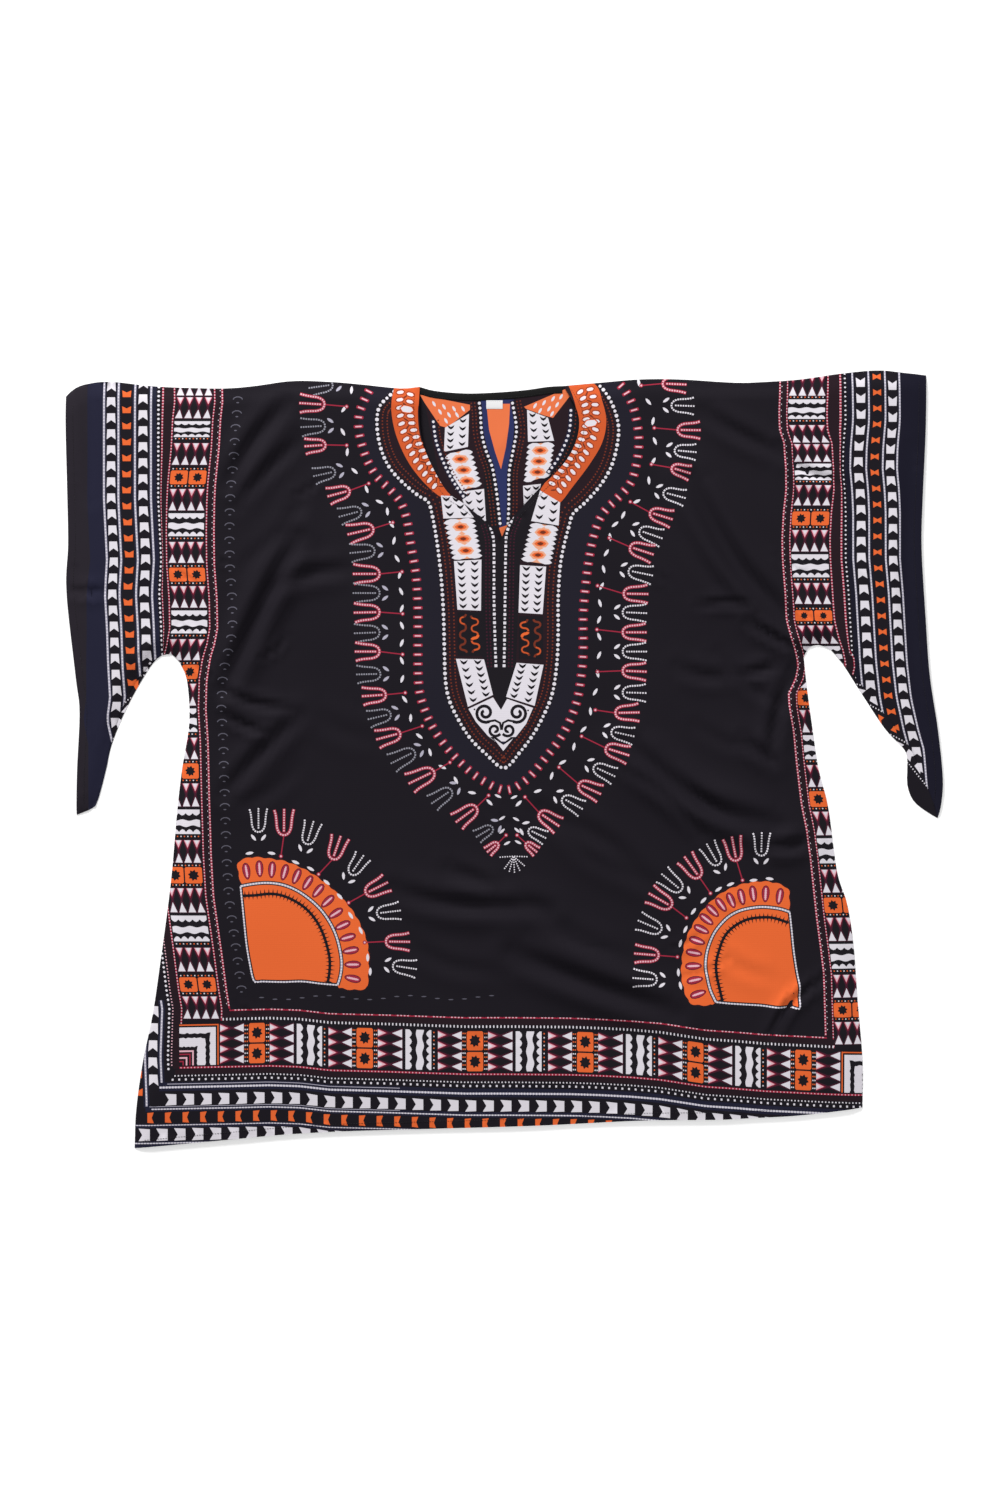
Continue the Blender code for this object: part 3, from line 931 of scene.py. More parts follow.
# %% Where the sprigs stand
# kind, base x, y, tip x, y, knob x, y
LEFT_SPRIGS = (
    ("white", 333, 385, 309, 388.6), ("red", 325, 405.4, 300, 404, 347, 407.4),
    ("white", 325.6, 426.6, 301, 428), ("red", 326, 445.6, 305, 447, 347, 446),
    ("white", 335.6, 472, 313.6, 477), ("red", 350, 491, 328, 497, 369, 484),
    ("white", 361.6, 511.4, 339, 517.4), ("red", 373.6, 529, 348, 535, 393, 523),
    ("white", 375, 551, 350, 553.6), ("red", 379.9, 574.3, 353.4, 574.3, 402.2, 572.1),
    ("white", 379.9, 593.4, 353.1, 593.4), ("red", 379.9, 612.4, 354.3, 613, 402.8, 614.1),
    ("white", 379.9, 632.6, 354.3, 633.6), ("red", 379.9, 651.8, 355.3, 651.8, 402.8, 654.6),
    ("white", 380.9, 674.1, 356.5, 674.6), ("red", 386.2, 694.8, 362.3, 696.4, 405.4, 692.9),
    ("white", 391, 714, 368, 719.5), ("red", 400.6, 733.1, 376.7, 739.5, 422.3, 726.1),
    ("white", 414.9, 751.6, 391, 763.5), ("red", 434.1, 771.4, 409, 783.5, 450, 762.4),
    ("white", 451.6, 790, 431.5, 803.5), ("red", 476.5, 807, 456, 822, 488.6, 795.3),
    ("white", 492.5, 827.2, 476, 837),
)  # fmt: skip
RIGHT_SPRIGS = (
    ("red", 662.4, 384, 686, 385, 641, 386), ("white", 671, 406, 694, 407),
    ("red", 677, 430.6, 700, 431, 654, 428.6), ("white", 674, 451, 696, 453),
    ("red", 671, 468.6, 690, 474, 651, 465), ("white", 663, 493, 685, 499),
    ("red", 649.6, 513, 672, 520, 630, 502.4), ("white", 639, 531, 662, 539),
    ("red", 629.6, 547.4, 653, 555, 609, 538.4), ("white", 628.2, 571, 652.5, 576),
    ("red", 623.2, 594, 647.7, 594.4, 597.3, 586.1), ("white", 622.2, 612.5, 646.6, 613.5),
    ("red", 622.2, 632.6, 646.1, 632.6, 596.7, 629.8), ("white", 622.2, 651.8, 646.6, 651.8),
    ("red", 622.2, 670.9, 646.1, 671.9, 597.3, 671.9), ("white", 622.2, 692.5, 646.1, 693.2),
    ("red", 614.9, 713, 639, 712.5, 595.1, 710.1), ("white", 611, 731.5, 634, 736.5),
    ("red", 605.3, 748, 628.6, 755.4, 581.4, 736.3), ("white", 593.5, 766.6, 614.9, 776.5),
    ("red", 578.5, 784.1, 600.5, 794, 558.8, 767.2), ("white", 562.2, 797.9, 582.5, 809),
    ("red", 539.3, 812.8, 559, 826, 524.9, 796.9), ("white", 528.5, 829.5, 546, 838),
)  # fmt: skip
LEFT_SUN_SPRIGS = (
    ("white", 259, 832, 259, 808), ("red", 284.4, 835, 284.6, 809, 281.4, 856),
    ("white", 307, 844, 314, 821), ("red", 333, 859, 341, 836, 319, 874), ("white", 351, 874, 364, 855),
    ("red", 366, 893, 388, 882, 349, 902.4), ("white", 377, 913, 401, 910),
    ("red", 386, 941, 410, 941.4, 365, 942), ("white", 393, 965, 417, 968.6),
)  # fmt: skip
RIGHT_SUN_SPRIGS = (
    ("white", 760.5, 855.5, 761, 832), ("red", 736, 860.5, 731, 836.5, 742, 880),
    ("white", 718, 864.5, 706, 843.5), ("red", 699, 877, 684, 856.5, 710, 893),
    ("white", 681, 890, 661, 873.5), ("red", 671, 906, 648.5, 893, 686, 917.5),
    ("white", 661, 930, 637.5, 920), ("red", 658.5, 955, 634, 953, 677, 956.5),
    ("white", 656.5, 979, 632, 977),
)  # fmt: skip
print("sprigs:", sum(map(len, (LEFT_SPRIGS, RIGHT_SPRIGS, LEFT_SUN_SPRIGS, RIGHT_SUN_SPRIGS))))

# %% [markdown]
# ## The quarter suns
# A quarter sun fills each lower corner: an orange panel with a spiked arc, a beaded white line, and a
# ring of crimson petals with a scalloped edge. Both are one design, but the cloth lies a little
# differently at each, so each has its own lines.

# %% The suns' lines
SUNS = (
    {
        "rim": (
            (242, 884), (239, 872), (239, 862), (250, 857.5), (262, 857.5), (273, 859), (285, 861),
            (298, 866), (310, 872), (322, 880), (333, 889), (344, 900), (353, 911), (360, 923),
            (366, 937), (369, 952), (369, 966), (368, 982), (366, 988), (352, 989), (339, 987),
        ),
        "line": (
            (241, 886), (251, 884), (264, 882.6), (275, 883), (285, 885), (297, 890), (309, 898),
            (320, 908), (329, 920), (336, 934), (340, 948), (342, 962), (341, 974), (338, 984.5),
        ),
        "sides": (
            (338, 984.5), (320, 983), (303, 981), (284, 981.5), (262, 981), (254.5, 980.5), (250, 962),
            (247, 944), (245, 925), (243, 905), (241, 886),
        ),
        "arc": (
            (243.5, 895.5), (256, 895), (270, 893.5), (282, 895), (294, 900), (306, 908), (315, 918),
            (322, 930), (327, 944), (330, 958), (330, 970), (328, 983),
        ),
        "petals": (
            (247, 871), (260, 868.5), (272.5, 869.5), (285, 872), (297, 876), (308, 882.5),
            (318.5, 890.5), (328, 901), (336, 913), (343, 925), (348, 937), (351, 950), (353, 964),
            (353, 978),
        ),
        "dashes": (
            (250, 853), (272, 853), (296, 862), (311, 868.5), (327, 882), (340, 896), (351, 915),
            (361, 930), (368, 957), (370.5, 971),
        ),
        "sprigs": LEFT_SUN_SPRIGS,
    },
    {
        "rim": (
            (789, 909), (788.5, 899), (788, 890), (779, 884), (765, 881.4), (753, 882), (742, 884),
            (731, 888), (721, 893), (712, 900), (704, 908), (697, 917), (691, 927), (686, 938),
            (683, 950), (681.5, 962), (681, 974), (683, 986), (686, 996), (691, 1003), (703, 1004.6),
            (714, 1004),
        ),
        "line": (
            (789, 911.6), (779, 908.4), (763, 906.6), (751, 907.6), (739, 910.4), (729, 915.6),
            (721, 923), (714, 932), (709, 943), (706, 954), (705, 966), (707, 978), (710, 990),
            (715.4, 1001.6),
        ),
        "sides": (
            (715.4, 1001.6), (729, 1003), (745, 1004), (761, 1005), (777, 1007), (791, 1006.5),
            (798.6, 1008), (799, 997), (799, 986), (796, 970), (793, 950), (791, 930), (789, 911.6),
        ),
        "arc": (
            (788, 922.4), (773, 917.6), (761, 917), (747, 919), (735, 925), (727, 932), (722, 940),
            (718, 952), (715.6, 962), (716, 974), (719, 988), (722, 1001),
        ),
        "petals": (
            (779, 896), (765, 893.6), (752.6, 893.6), (741, 896.6), (730.6, 900), (720.6, 904.4),
            (712, 910.4), (706, 919), (701, 929), (696.6, 940.4), (693.6, 952.4), (693, 965.6),
            (694.4, 979.6), (697.6, 993.4),
        ),
        "dashes": (
            (769, 878.5), (753, 880), (730, 884), (718, 889), (703, 900), (693, 911), (685, 929),
            (680, 943), (678, 972), (680, 985),
        ),
        "sprigs": RIGHT_SUN_SPRIGS,
    },
)  # fmt: skip


# %% A sun from its lines
def sun(parts):
    """A quarter sun: a scalloped orange ring of petals, and a panel with a beaded edge and a spiked arc."""
    rim, line, sides, arc = (Path(parts[name], 3.0) for name in ("rim", "line", "sides", "arc"))
    middle = np.mean(parts["line"], axis=0)
    half = rim.length / 2
    outward = 1.0 if math.dist(rim.at(half, 3), middle) > math.dist(rim.at(half), middle) else -1.0
    scallops = []
    for s in np.arange(0, rim.length, 2.2):
        scallops.append(rim.at(s, outward * (1.3 * abs(math.sin(math.pi * s / 12.4)) - 0.6)))
    stamp("umber", rim.walk(6, outward * 1.6) + line.walk(-6))
    stamp("orange", scallops + line.walk(-4))
    stamp("orange", line.walk(4) + sides.walk(4, past=-1))
    for path in (line, sides):
        path.stripe("black", 4.0, step=4)
    arc.stripe("black", 2.8, step=4)
    for s in arc.steps(4.0):
        for side, reach in ((1, 5.4), (-1, 4.6)):
            (x0, y0), (x1, y1), (x2, y2) = arc.at(s - 0.9), arc.at(s + 0.9), arc.at(s, side * reach)
            stamp("black", ((x0, y0), (x1, y1), (x2, y2)))
    for path, wide in ((line, 2.0), (sides, 1.4)):
        path.stripe("lilac", wide, step=4)
        path.dots("white", 2.2, 2.9, corners=4)
    for x, y in parts["petals"]:
        turn = line.angle_beside(x, y) + 90
        c, k = math.cos(math.radians(turn)), math.sin(math.radians(turn))
        if math.hypot(x + c - middle[0], y + k - middle[1]) < math.hypot(x - middle[0], y - middle[1]):
            turn, c, k = turn + 180, -c, -k
        petal("maroon", x, y, 17.2, 8.0, turn)
        petal("crimson", x, y, 15.6, 6.6, turn)
        for i in range(-3, 4):
            spot("blush", x + 1.75 * i * c, y + 1.75 * i * k, 2.5 if abs(i) < 3 else 1.8, 6)
    for x, y in parts["dashes"]:
        leaf("white", x, y, 8.4, 3.1, rim.angle_beside(x, y))
    sprigs(parts["sprigs"])


# %% [markdown]
# ## The neck print
# A long drop hangs from the neck: a line of big dots, two lines of fine beads, orange lobes with white
# seeds along the opening, and two white columns that come together in curls at the tip. Navy cloth shows
# round it, then short red bars, white leaves and the sprigs. It is the usual dashiki layout, drawn here
# with its own shapes.

# %% The neck print's lines
DOT_LINE = (
    (400, 386), (390, 396), (379, 409), (377.5, 430), (382, 452), (391, 470), (405, 485), (419, 496.5),
    (428, 502), (432, 514), (437, 542), (441, 575), (443.5, 612), (444.5, 650), (445.5, 680), (449, 699),
    (457, 717), (470, 738), (486, 754), (504, 768), (520, 752), (534, 733), (546, 710), (553, 690),
    (557, 660), (558, 630), (558, 600), (560, 567), (564, 545), (569, 526), (573, 514), (585, 503),
    (600, 486), (611, 467), (617, 445), (618, 425), (612, 405), (603, 390), (598, 385),
)  # fmt: skip
BAR_LINE = (
    (372, 386), (365, 400), (359.5, 415), (359, 430), (362, 445), (368, 462), (377, 477), (391, 491),
    (401, 503), (407, 520), (411, 545), (416, 575), (418, 610), (418, 650), (418.5, 680), (421, 698),
    (430, 722), (444, 744), (462, 764), (482, 780), (506, 790), (527, 779), (546, 757), (559, 740),
    (569, 722), (577, 700), (581, 676), (583, 650), (583, 615), (586, 580), (590, 552), (596, 528),
    (604, 512), (616, 500), (630, 484), (636, 465), (638.5, 445), (637, 425), (632, 405), (624, 390),
    (617, 382),
)  # fmt: skip
LEFT_LOBE = (
    (395, 384), (392, 400), (392, 416), (397, 438), (408, 462), (423, 482), (440, 497), (449, 497),
    (451, 490), (440, 476), (427, 455), (420, 436), (418, 412), (420, 384),
)  # fmt: skip
RIGHT_LOBE = (
    (566, 380), (573, 398), (577, 416), (576, 432), (568, 450), (556, 468), (543, 486), (541, 492),
    (552, 501), (560, 503), (572, 488), (590, 464), (602, 443), (606, 422), (602, 402), (594, 384),
)  # fmt: skip


# %% Birds and feathers
def chevrons(corners, rows, size=1.0, columns=2):
    """Small dark birds in rows over a four-sided block, given from its upper left corner clockwise."""
    ul, ur, lr, ll = (np.array(c, float) for c in corners)
    for i in range(rows):
        for j in range(columns):
            u, v = (j + 0.5) / columns, (i + 0.45) / rows
            x, y = (ul * (1 - u) + ur * u) * (1 - v) + (ll * (1 - u) + lr * u) * v
            w, h = 4.1 * size, 2.5 * size
            wings = ((x - w, y - h), (x, y - 0.3), (x + w, y - h))
            stamp("black", wings + ((x + w * 0.6, y + 0.8), (x, y + h), (x - w * 0.6, y + 0.8)))


def feathers(corners, rows=8):
    """A peach block with white feathers from both sides and three small diamonds down its middle."""
    ul, ur, lr, ll = (np.array(c, float) for c in corners)
    stamp("black", corners)
    inner = [ul * 0.72 + ur * 0.28, ul * 0.28 + ur * 0.72, lr * 0.72 + ll * 0.28, lr * 0.28 + ll * 0.72]
    stamp("peach", inner)
    wide = np.linalg.norm(ur - ul)
    for i in range(rows):
        v = (i + 0.5) / rows
        left, right = ul * (1 - v) + ll * v, ur * (1 - v) + lr * v
        turn = math.degrees(math.atan2(right[1] - left[1], right[0] - left[0]))
        tall = np.linalg.norm(ll - ul) / rows
        leaf("white", *(left * 0.76 + right * 0.24), wide * 0.55, tall * 1.2, turn + 180 - 5)
        leaf("white", *(left * 0.24 + right * 0.76), wide * 0.55, tall * 1.2, turn + 5)
    for v in (0.2, 0.5, 0.8):
        x, y = (ul * (1 - v) + ll * v + ur * (1 - v) + lr * v) / 2
        leaf("peach", x, y, 17, 8.4, 0, 1.0)
        leaf("orange", x, y, 12.5, 5.6, 0, 0.8)
        leaf("rust", x, y, 6.8, 3.6, 0, 0.6)


# %% Seeds and curls
SEED_LONG, SEED_WIDE, SEED_PITCH = 7.2, 3.3, 7.6


def seeds(path):
    """Two rows of white seeds lying across a lobe, with fine dark strokes between them."""
    for k, s in enumerate(path.steps(SEED_PITCH, 6, 4)):
        turn = path.angle(s) + 90
        for side in (-1, 1):
            x, y = path.at(s + side * 0.8, side * 5.0)
            for ink, longer, wider in (("rust", 1.36, 1.66), ("orange", 1.15, 1.22), ("white", 1, 1)):
                leaf(ink, x, y, SEED_LONG * longer, SEED_WIDE * wider, turn + 12 * side, 1.0)
        leaf("rust", *path.at(s + SEED_PITCH / 2), SEED_LONG * 0.9, 1.7, turn + (40 if k % 2 else -40))


def curl(x, y, size, turns, start, way, width):
    """A spiral line round x, y, from its wide end."""
    t = np.linspace(0, 1, int(14 * turns) + 4)
    radius = size * (1 - 0.78 * t)
    angle = math.radians(start) + way * 2 * math.pi * turns * t
    ribbon("black", np.column_stack([x + radius * np.cos(angle), y + radius * np.sin(angle)]), width)


# %% Winding lines
# the two winding lines: across and down, as shares of their block
WINDING = (
    ((0.36, 0.0), (0.11, 0.15), (0.36, 0.33), (0.11, 0.52), (0.34, 0.69), (0.11, 0.84), (0.4, 0.97)),
    ((0.57, 0.04), (0.88, 0.19), (0.6, 0.36), (0.88, 0.53), (0.6, 0.67), (0.94, 0.82), (0.64, 0.97)),
)  # fmt: skip


def rounded(table):
    """Points on a wave that turns round at each row of the table."""
    found = []
    for (u0, v0), (u1, v1) in zip(table[:-1], table[1:]):
        for t in np.linspace(0, 1, 6)[:-1]:
            turn = (1 - math.cos(math.pi * t)) / 2
            lean = t + 0.12 * math.sin(2 * math.pi * t)
            found.append((u0 + (u1 - u0) * turn, v0 + (v1 - v0) * lean))
    return found + [table[-1]]


def scrolls(x0, y0, x1, y1):
    """A dark block with two winding lines, one of them partly thicker. The right block is turned round."""
    box("black", x0, y0, x1, y1)
    turned = x0 > BOARD_MIDDLE[0]
    for k, table in enumerate(WINDING):
        across = [(1 - u if turned else u, 1 - v if turned else v) for u, v in rounded(table)]
        line = Path([(x0 + u * (x1 - x0), y0 + 2 + v * (y1 - y0 - 4)) for u, v in across], 1.4)
        line.stripe("rust", 2.1, step=1.4)
        if k:
            line.stripe("burnt", 1.2, start=2, end=0.5 * line.length, step=1.4)
            line.stripe("orange", 2.8, start=0.5 * line.length, end=0.36 * line.length, step=1.4)
            line.stripe("burnt", 1.6, start=0.66 * line.length, end=3, step=1.4)
        else:
            line.stripe("burnt", 1.3, start=4, end=0.72 * line.length, step=1.4)


# %% The drop
def neck_ground():
    """The navy cloth of the drop with the black gap in its middle, and what runs round it."""
    bars = Path(BAR_LINE)
    dots = Path(DOT_LINE)
    stamp("dusk", bars.walk(6, past=1))
    stamp("umber", dots.walk(4, past=1))
    stamp("black", (
        (440, 470), (474, 518), (481, 559), (481, 656), (484, 659), (494, 696), (501, 710), (507, 698),
        (516, 663), (518, 613), (520, 561), (531, 522), (545, 480), (504, 460),
    ))  # fmt: skip
    for s in bars.steps(9.3, 2, 1):
        x, y = bars.at(s)
        turn = bars.angle(s) + 90
        bar("crimson", x, y, 9.6, 3.1, turn)
        bar("blush", x, y, 6.4, 1.4, turn)
    outward = -1.0 if bars.at(bars.length / 2, 3)[1] < bars.at(bars.length / 2)[1] else 1.0
    for k, s in enumerate(bars.steps(17.5, 4, 4)):
        leaf("white", *bars.at(s, outward * 16), 8.6, 3.1, bars.angle(s) + (22 if k % 2 else -22))
    dots.stripe("black", 4.6, step=4)
    dots.dots("white", 3.7, 4.9, start=1, corners=6, uneven=0.1)
    for off in (5.4, 10.2):
        dots.dots("rust", 2.0, 3.5, off=-outward * off, start=4, end=4, corners=4)


# %% Lobes and columns
def neck_columns():
    """The orange lobes along the opening and the white columns under them."""
    for lobe in (LEFT_LOBE, RIGHT_LOBE):
        stamp("burnt", Path(lobe + lobe[:1], 4).line[:-1])
    seeds(Path(((406, 384), (405, 410), (409, 432), (419, 456), (431, 474), (444, 490))))
    seeds(Path(((581, 382), (589, 402), (591, 424), (586, 442), (574, 462), (561, 480), (551, 494))))
    for x, y, turn in ((407, 410, 10), (590.5, 424, -8)):
        for ink, long, wide in (("rust", 15.5, 8.6), ("orange", 14.4, 7.6), ("white", 12.6, 6.2)):
            leaf(ink, x, y, long, wide, turn, 1.0)
    # kind, corners clockwise, and for chevrons the number of rows
    left = (
        ("chevrons", (441, 496), (459, 497), (474, 518), (443.5, 519), 3),
        ("feathers", (444, 520.5), (474, 518.5), (481, 558), (454, 560)),
        ("chevrons", (454, 561.5), (481.5, 560), (481, 611), (457.5, 610), 7),
        ("scrolls", (457.5, 612.5), (481, 656)),
        ("chevrons", (456, 659), (484, 659.5), (493, 695), (468, 707), 6),
    )
    right = (
        ("chevrons", (540, 491), (560, 503), (558.5, 526), (531, 521.5), 3),
        ("feathers", (531, 523), (558, 527.5), (551.5, 565), (520.5, 561)),
        ("chevrons", (520, 565.5), (546, 567), (542.5, 614.5), (518.5, 613), 7),
        ("scrolls", (518.8, 616.5), (543, 659.5)),
        ("chevrons", (516.5, 663), (543.5, 665), (534.5, 706), (506, 697), 6),
    )
    for block in left + right:
        kind, *corners = block
        if kind == "chevrons":
            rows = corners.pop()
            stamp("white", corners, dense=12)
            chevrons(corners, rows)
        elif kind == "feathers":
            feathers(corners)
        else:
            scrolls(*corners[0], *corners[1])
    stamp("white", (
        (468.5, 709), (493, 697.5), (501, 710), (507, 699), (533, 708), (526, 724), (515, 738), (503.5, 748),
        (488, 736), (476, 722),
    ))  # fmt: skip
    curl(485, 713, 9.8, 1.5, 62, 1, 3.1)
    curl(517.4, 713, 9.8, 1.5, 118, -1, 3.1)
    curl(494.8, 730, 6.8, 1.2, 35, 1, 2.8)
    curl(508.2, 730, 6.8, 1.2, 145, -1, 2.8)
    ribbon("black", ((488.5, 721.6), (495, 720.4), (500, 723), (501.4, 730)), 2.3)
    ribbon("black", ((514.5, 721.6), (508, 720.4), (503, 723), (501.6, 730)), 2.3)
    stamp("black", ((490, 737), (496, 737), (503.3, 743), (511, 737), (517, 737), (503.3, 748.5)))
    stamp("white", ((493.5, 738.2), (503.3, 745), (513, 738.6), (503.3, 751)))
    stamp("navy", ((500, 741.5), (506.6, 741.5), (503.3, 744.2)))
    for x, y in ((474.5, 709.5), (528, 710.5)):
        spot("black", x, y, 2.0, 6)
    for table in (
        ((487, 519), (490, 526), (493.5, 540), (494, 560), (494, 600), (495, 640), (496, 668)),
        ((515, 512), (511, 522), (506.5, 535), (505.5, 560), (505, 600), (504.5, 640), (504, 668)),
    ):
        slit = Path(table)
        out = 1.0 if (slit.at(60, 3)[0] < slit.at(60)[0]) == (table[0][0] < BOARD_MIDDLE[0]) else -1.0
        for off in (4.6, 8.0):
            slit.dots("maroon", 1.9, 3.4, off=out * off, start=3, corners=4)
        slit.dots("white", 3.5, 4.3, corners=4, uneven=0.16)


# %% Round the drop
def spray():
    """The small leaves and fans below the drop's tip."""
    for x, y, turn in (
        (498, 796, 25), (514, 797, -25), (502, 818, -32), (516, 819, 28),
        (502, 831, -42), (517, 830, 42), (507, 843, -28), (518, 842, 28),
    ):  # fmt: skip
        leaf("white", x, y, 7.6, 2.5, turn)
    sprig("red", (498, 843), (487, 852), np.array((506, 835)))
    sprig("red", (526, 843), (537, 852), np.array((517, 835)))
    tips = ((499, 857), (504, 869), (509, 872), (514.5, 873), (520, 871), (525, 866), (528, 856.5))
    fan("white", (513.5, 856), tips)


def sprigs_round_the_neck():
    sprigs(LEFT_SPRIGS, "silver")
    sprigs(RIGHT_SPRIGS)
    spray()


# %% [markdown]
# ## The print inside the neck
# The opening shows the inside of the back, where the back's own neck print comes through: an orange drop,
# navy and two strings of dots, white columns and orange corners. The same shapes finish the outer side of
# the back.

# %% The inside of the back
def inner_neck():
    """All that shows through the opening, on a black ground."""
    box("black", 415, 380, 585, 545)
    inner_shapes()


def inner_shapes():
    """The blocks, the orange drop and the strings of dots on the inside of the back."""
    stamp("umber", ((424, 398), (484, 398), (484, 520), (500, 540), (476, 540), (440, 480)))
    stamp("umber", ((516, 398), (572, 392), (566, 440), (540, 492), (508, 540), (512, 520)))
    stamp("apricot", ((420, 395), (470, 405), (470, 410), (447, 428), (440, 426), (424, 402)))
    stamp("apricot", ((524, 407), (566, 389), (570, 396), (553, 418), (545, 416), (526, 409)))
    corner_leaves = (
        (60, (434, 404), (444, 407), (454, 409), (463, 409), (440, 412), (449, 415), (457, 415), (446, 421)),
        (-60, (535, 406), (544, 403), (553, 399), (561, 397), (540, 411), (549, 409), (557, 405), (552, 414)),
    )  # fmt: skip
    for turn, *places in corner_leaves:
        for x, y in places:
            leaf("white", x, y, 6.5, 2.6, turn)
    for corners, rows in (
        (((445, 428), (469, 414), (468, 447), (444, 452)), 4),
        (((460, 492), (484, 489), (486, 521), (470, 523)), 4),
        (((527, 410), (548, 418), (554, 441), (528, 442)), 4),
        (((523, 486), (541, 484), (536, 508), (524, 511)), 3),
    ):
        stamp("white", corners)
        chevrons(corners, rows, size=0.9)
    feathers(((445, 455), (471, 449), (481, 486), (457, 491)), 7)
    feathers(((528, 444), (554, 443), (549, 476), (524, 483)), 7)
    stamp("blue", (
        (481, 400), (514, 400), (514, 430), (510, 478), (510, 526), (503, 538), (499, 526), (492, 470),
        (483, 430),
    ))  # fmt: skip
    stamp("apricot", ((486.4, 404), (510, 404), (509, 425), (506, 447), (501, 469.5), (495, 452), (489, 430)))
    left = Path((
        (479, 401), (480.5, 414), (481, 426), (482.7, 439), (486.4, 452), (491.5, 465), (494.4, 478.5),
        (496.6, 493), (498, 505), (500.3, 526),
    ))  # fmt: skip
    right = Path((
        (512, 401), (515.7, 421), (516.4, 433), (514.2, 445), (512, 456.5), (509.8, 467), (508.8, 478.5),
        (508.8, 502), (508, 526),
    ))  # fmt: skip
    for path, side in ((left, -1), (right, 1)):
        middle = 1.0 if path.at(40, 4)[0] > path.at(40)[0] else -1.0
        for off in (4.6, 8.0):
            path.dots("rust", 1.8, 3.4, off=side * middle * off, corners=4)
        path.stripe("black", 4.0)
        path.dots("white", 3.3, 4.9)
    stamp("apricot", ((499, 528), (508, 525), (503.5, 541)))
    outer = (
        ((430, 420), (434, 445), (446, 475), (462, 500)),
        ((568, 408), (566, 432), (556, 456), (545, 472)),
    )  # fmt: skip
    for table in outer:
        path = Path(table)
        side = 1.0 if path.at(20, 4)[0] > path.at(20)[0] else -1.0
        path.stripe("navy", 4.4, off=side * 3)
        path.dots("white", 3.0, 4.9, off=side * 3)
        path.dots("rust", 1.8, 3.4, off=side * 8, corners=4)


# %% All the shapes, in the order of printing
def suns():
    for parts in SUNS:
        sun(parts)


def collect(*makers):
    """The shapes that these functions stamp, in millimetres."""
    shapes.clear()
    for maker in makers:
        maker()
    return [(ink, to_mm(points)) for ink, points in shapes]


round_the_edges = collect(crescents, left_border, left_corner_columns, right_border, hem_border, suns)
round_the_neck = collect(sprigs_round_the_neck)
front_print = round_the_edges + collect(neck_ground, neck_columns) + round_the_neck
back_print = round_the_edges + collect(neck_ground, inner_shapes, neck_columns) + round_the_neck
inside_print = collect(inner_neck)
print("shapes in the print:", len(front_print), "and inside the neck:", len(inside_print))

# %% [markdown]
# ## Inks
# A thin cotton takes the print into its threads, so every ink keeps the weave and the dull surface of the
# cloth. Each ink is the same cloth with its own colour, set as one number on the shader, because a
# printed colour is even. The weave is a fine bump of crossed threads with thicker ones here and there.
# The cloth has hardly any gloss, and what it has changes softly from place to place, as it does where an
# iron has gone.

# %% Swatches
def linear(*rgb):
    """Screen colours from 0 to 255 as amounts of light."""
    return tuple((c / 255 / 12.92) if c <= 10 else ((c / 255 + 0.055) / 1.055) ** 2.4 for c in rgb)


LIGHT = 1.22  # how much brighter the studio lamps are than the light in which the swatches were matched
SHINE = 0.0045  # the cloth's own reflection, which is there without any ink
DARKEST = 0.0015  # no dye is blacker than this

# red, green, blue as they look on the finished cloth
SWATCHES = {
    "ground": (33, 30, 36),
    "black": (34, 31, 36),
    "navy": (38, 38, 56),
    "dusk": (37, 35, 45),
    "midnight": (31, 30, 43),
    "blue": (48, 54, 98),
    "umber": (43, 31, 37),
    "maroon": (76, 33, 49),
    "charcoal": (43, 39, 46),
    "white": (232, 227, 235),
    "lilac": (184, 180, 196),
    "silver": (150, 149, 160),
    "ash": (96, 94, 106),
    "blush": (236, 184, 196),
    "crimson": (164, 46, 68),
    "orange": (240, 109, 56),
    "apricot": (238, 122, 76),
    "rust": (122, 55, 39),
    "burnt": (214, 94, 50),
    "peach": (242, 172, 138),
    "inside": (36, 33, 40),
}


def swatch(rgb):
    """An ink that looks like the swatch under the studio lamps."""
    return tuple(max(DARKEST, (c - SHINE) / LIGHT) for c in linear(*rgb))


# %% The woven cloth
def add_node(tree, kind, values, **settings):
    """A new shader node with the values of its sockets and its settings."""
    node = tree.nodes.new("ShaderNode" + kind)
    for setting, value in settings.items():
        setattr(node, setting, value)
    for socket, value in values.items():
        node.inputs[socket].default_value = value
    return node


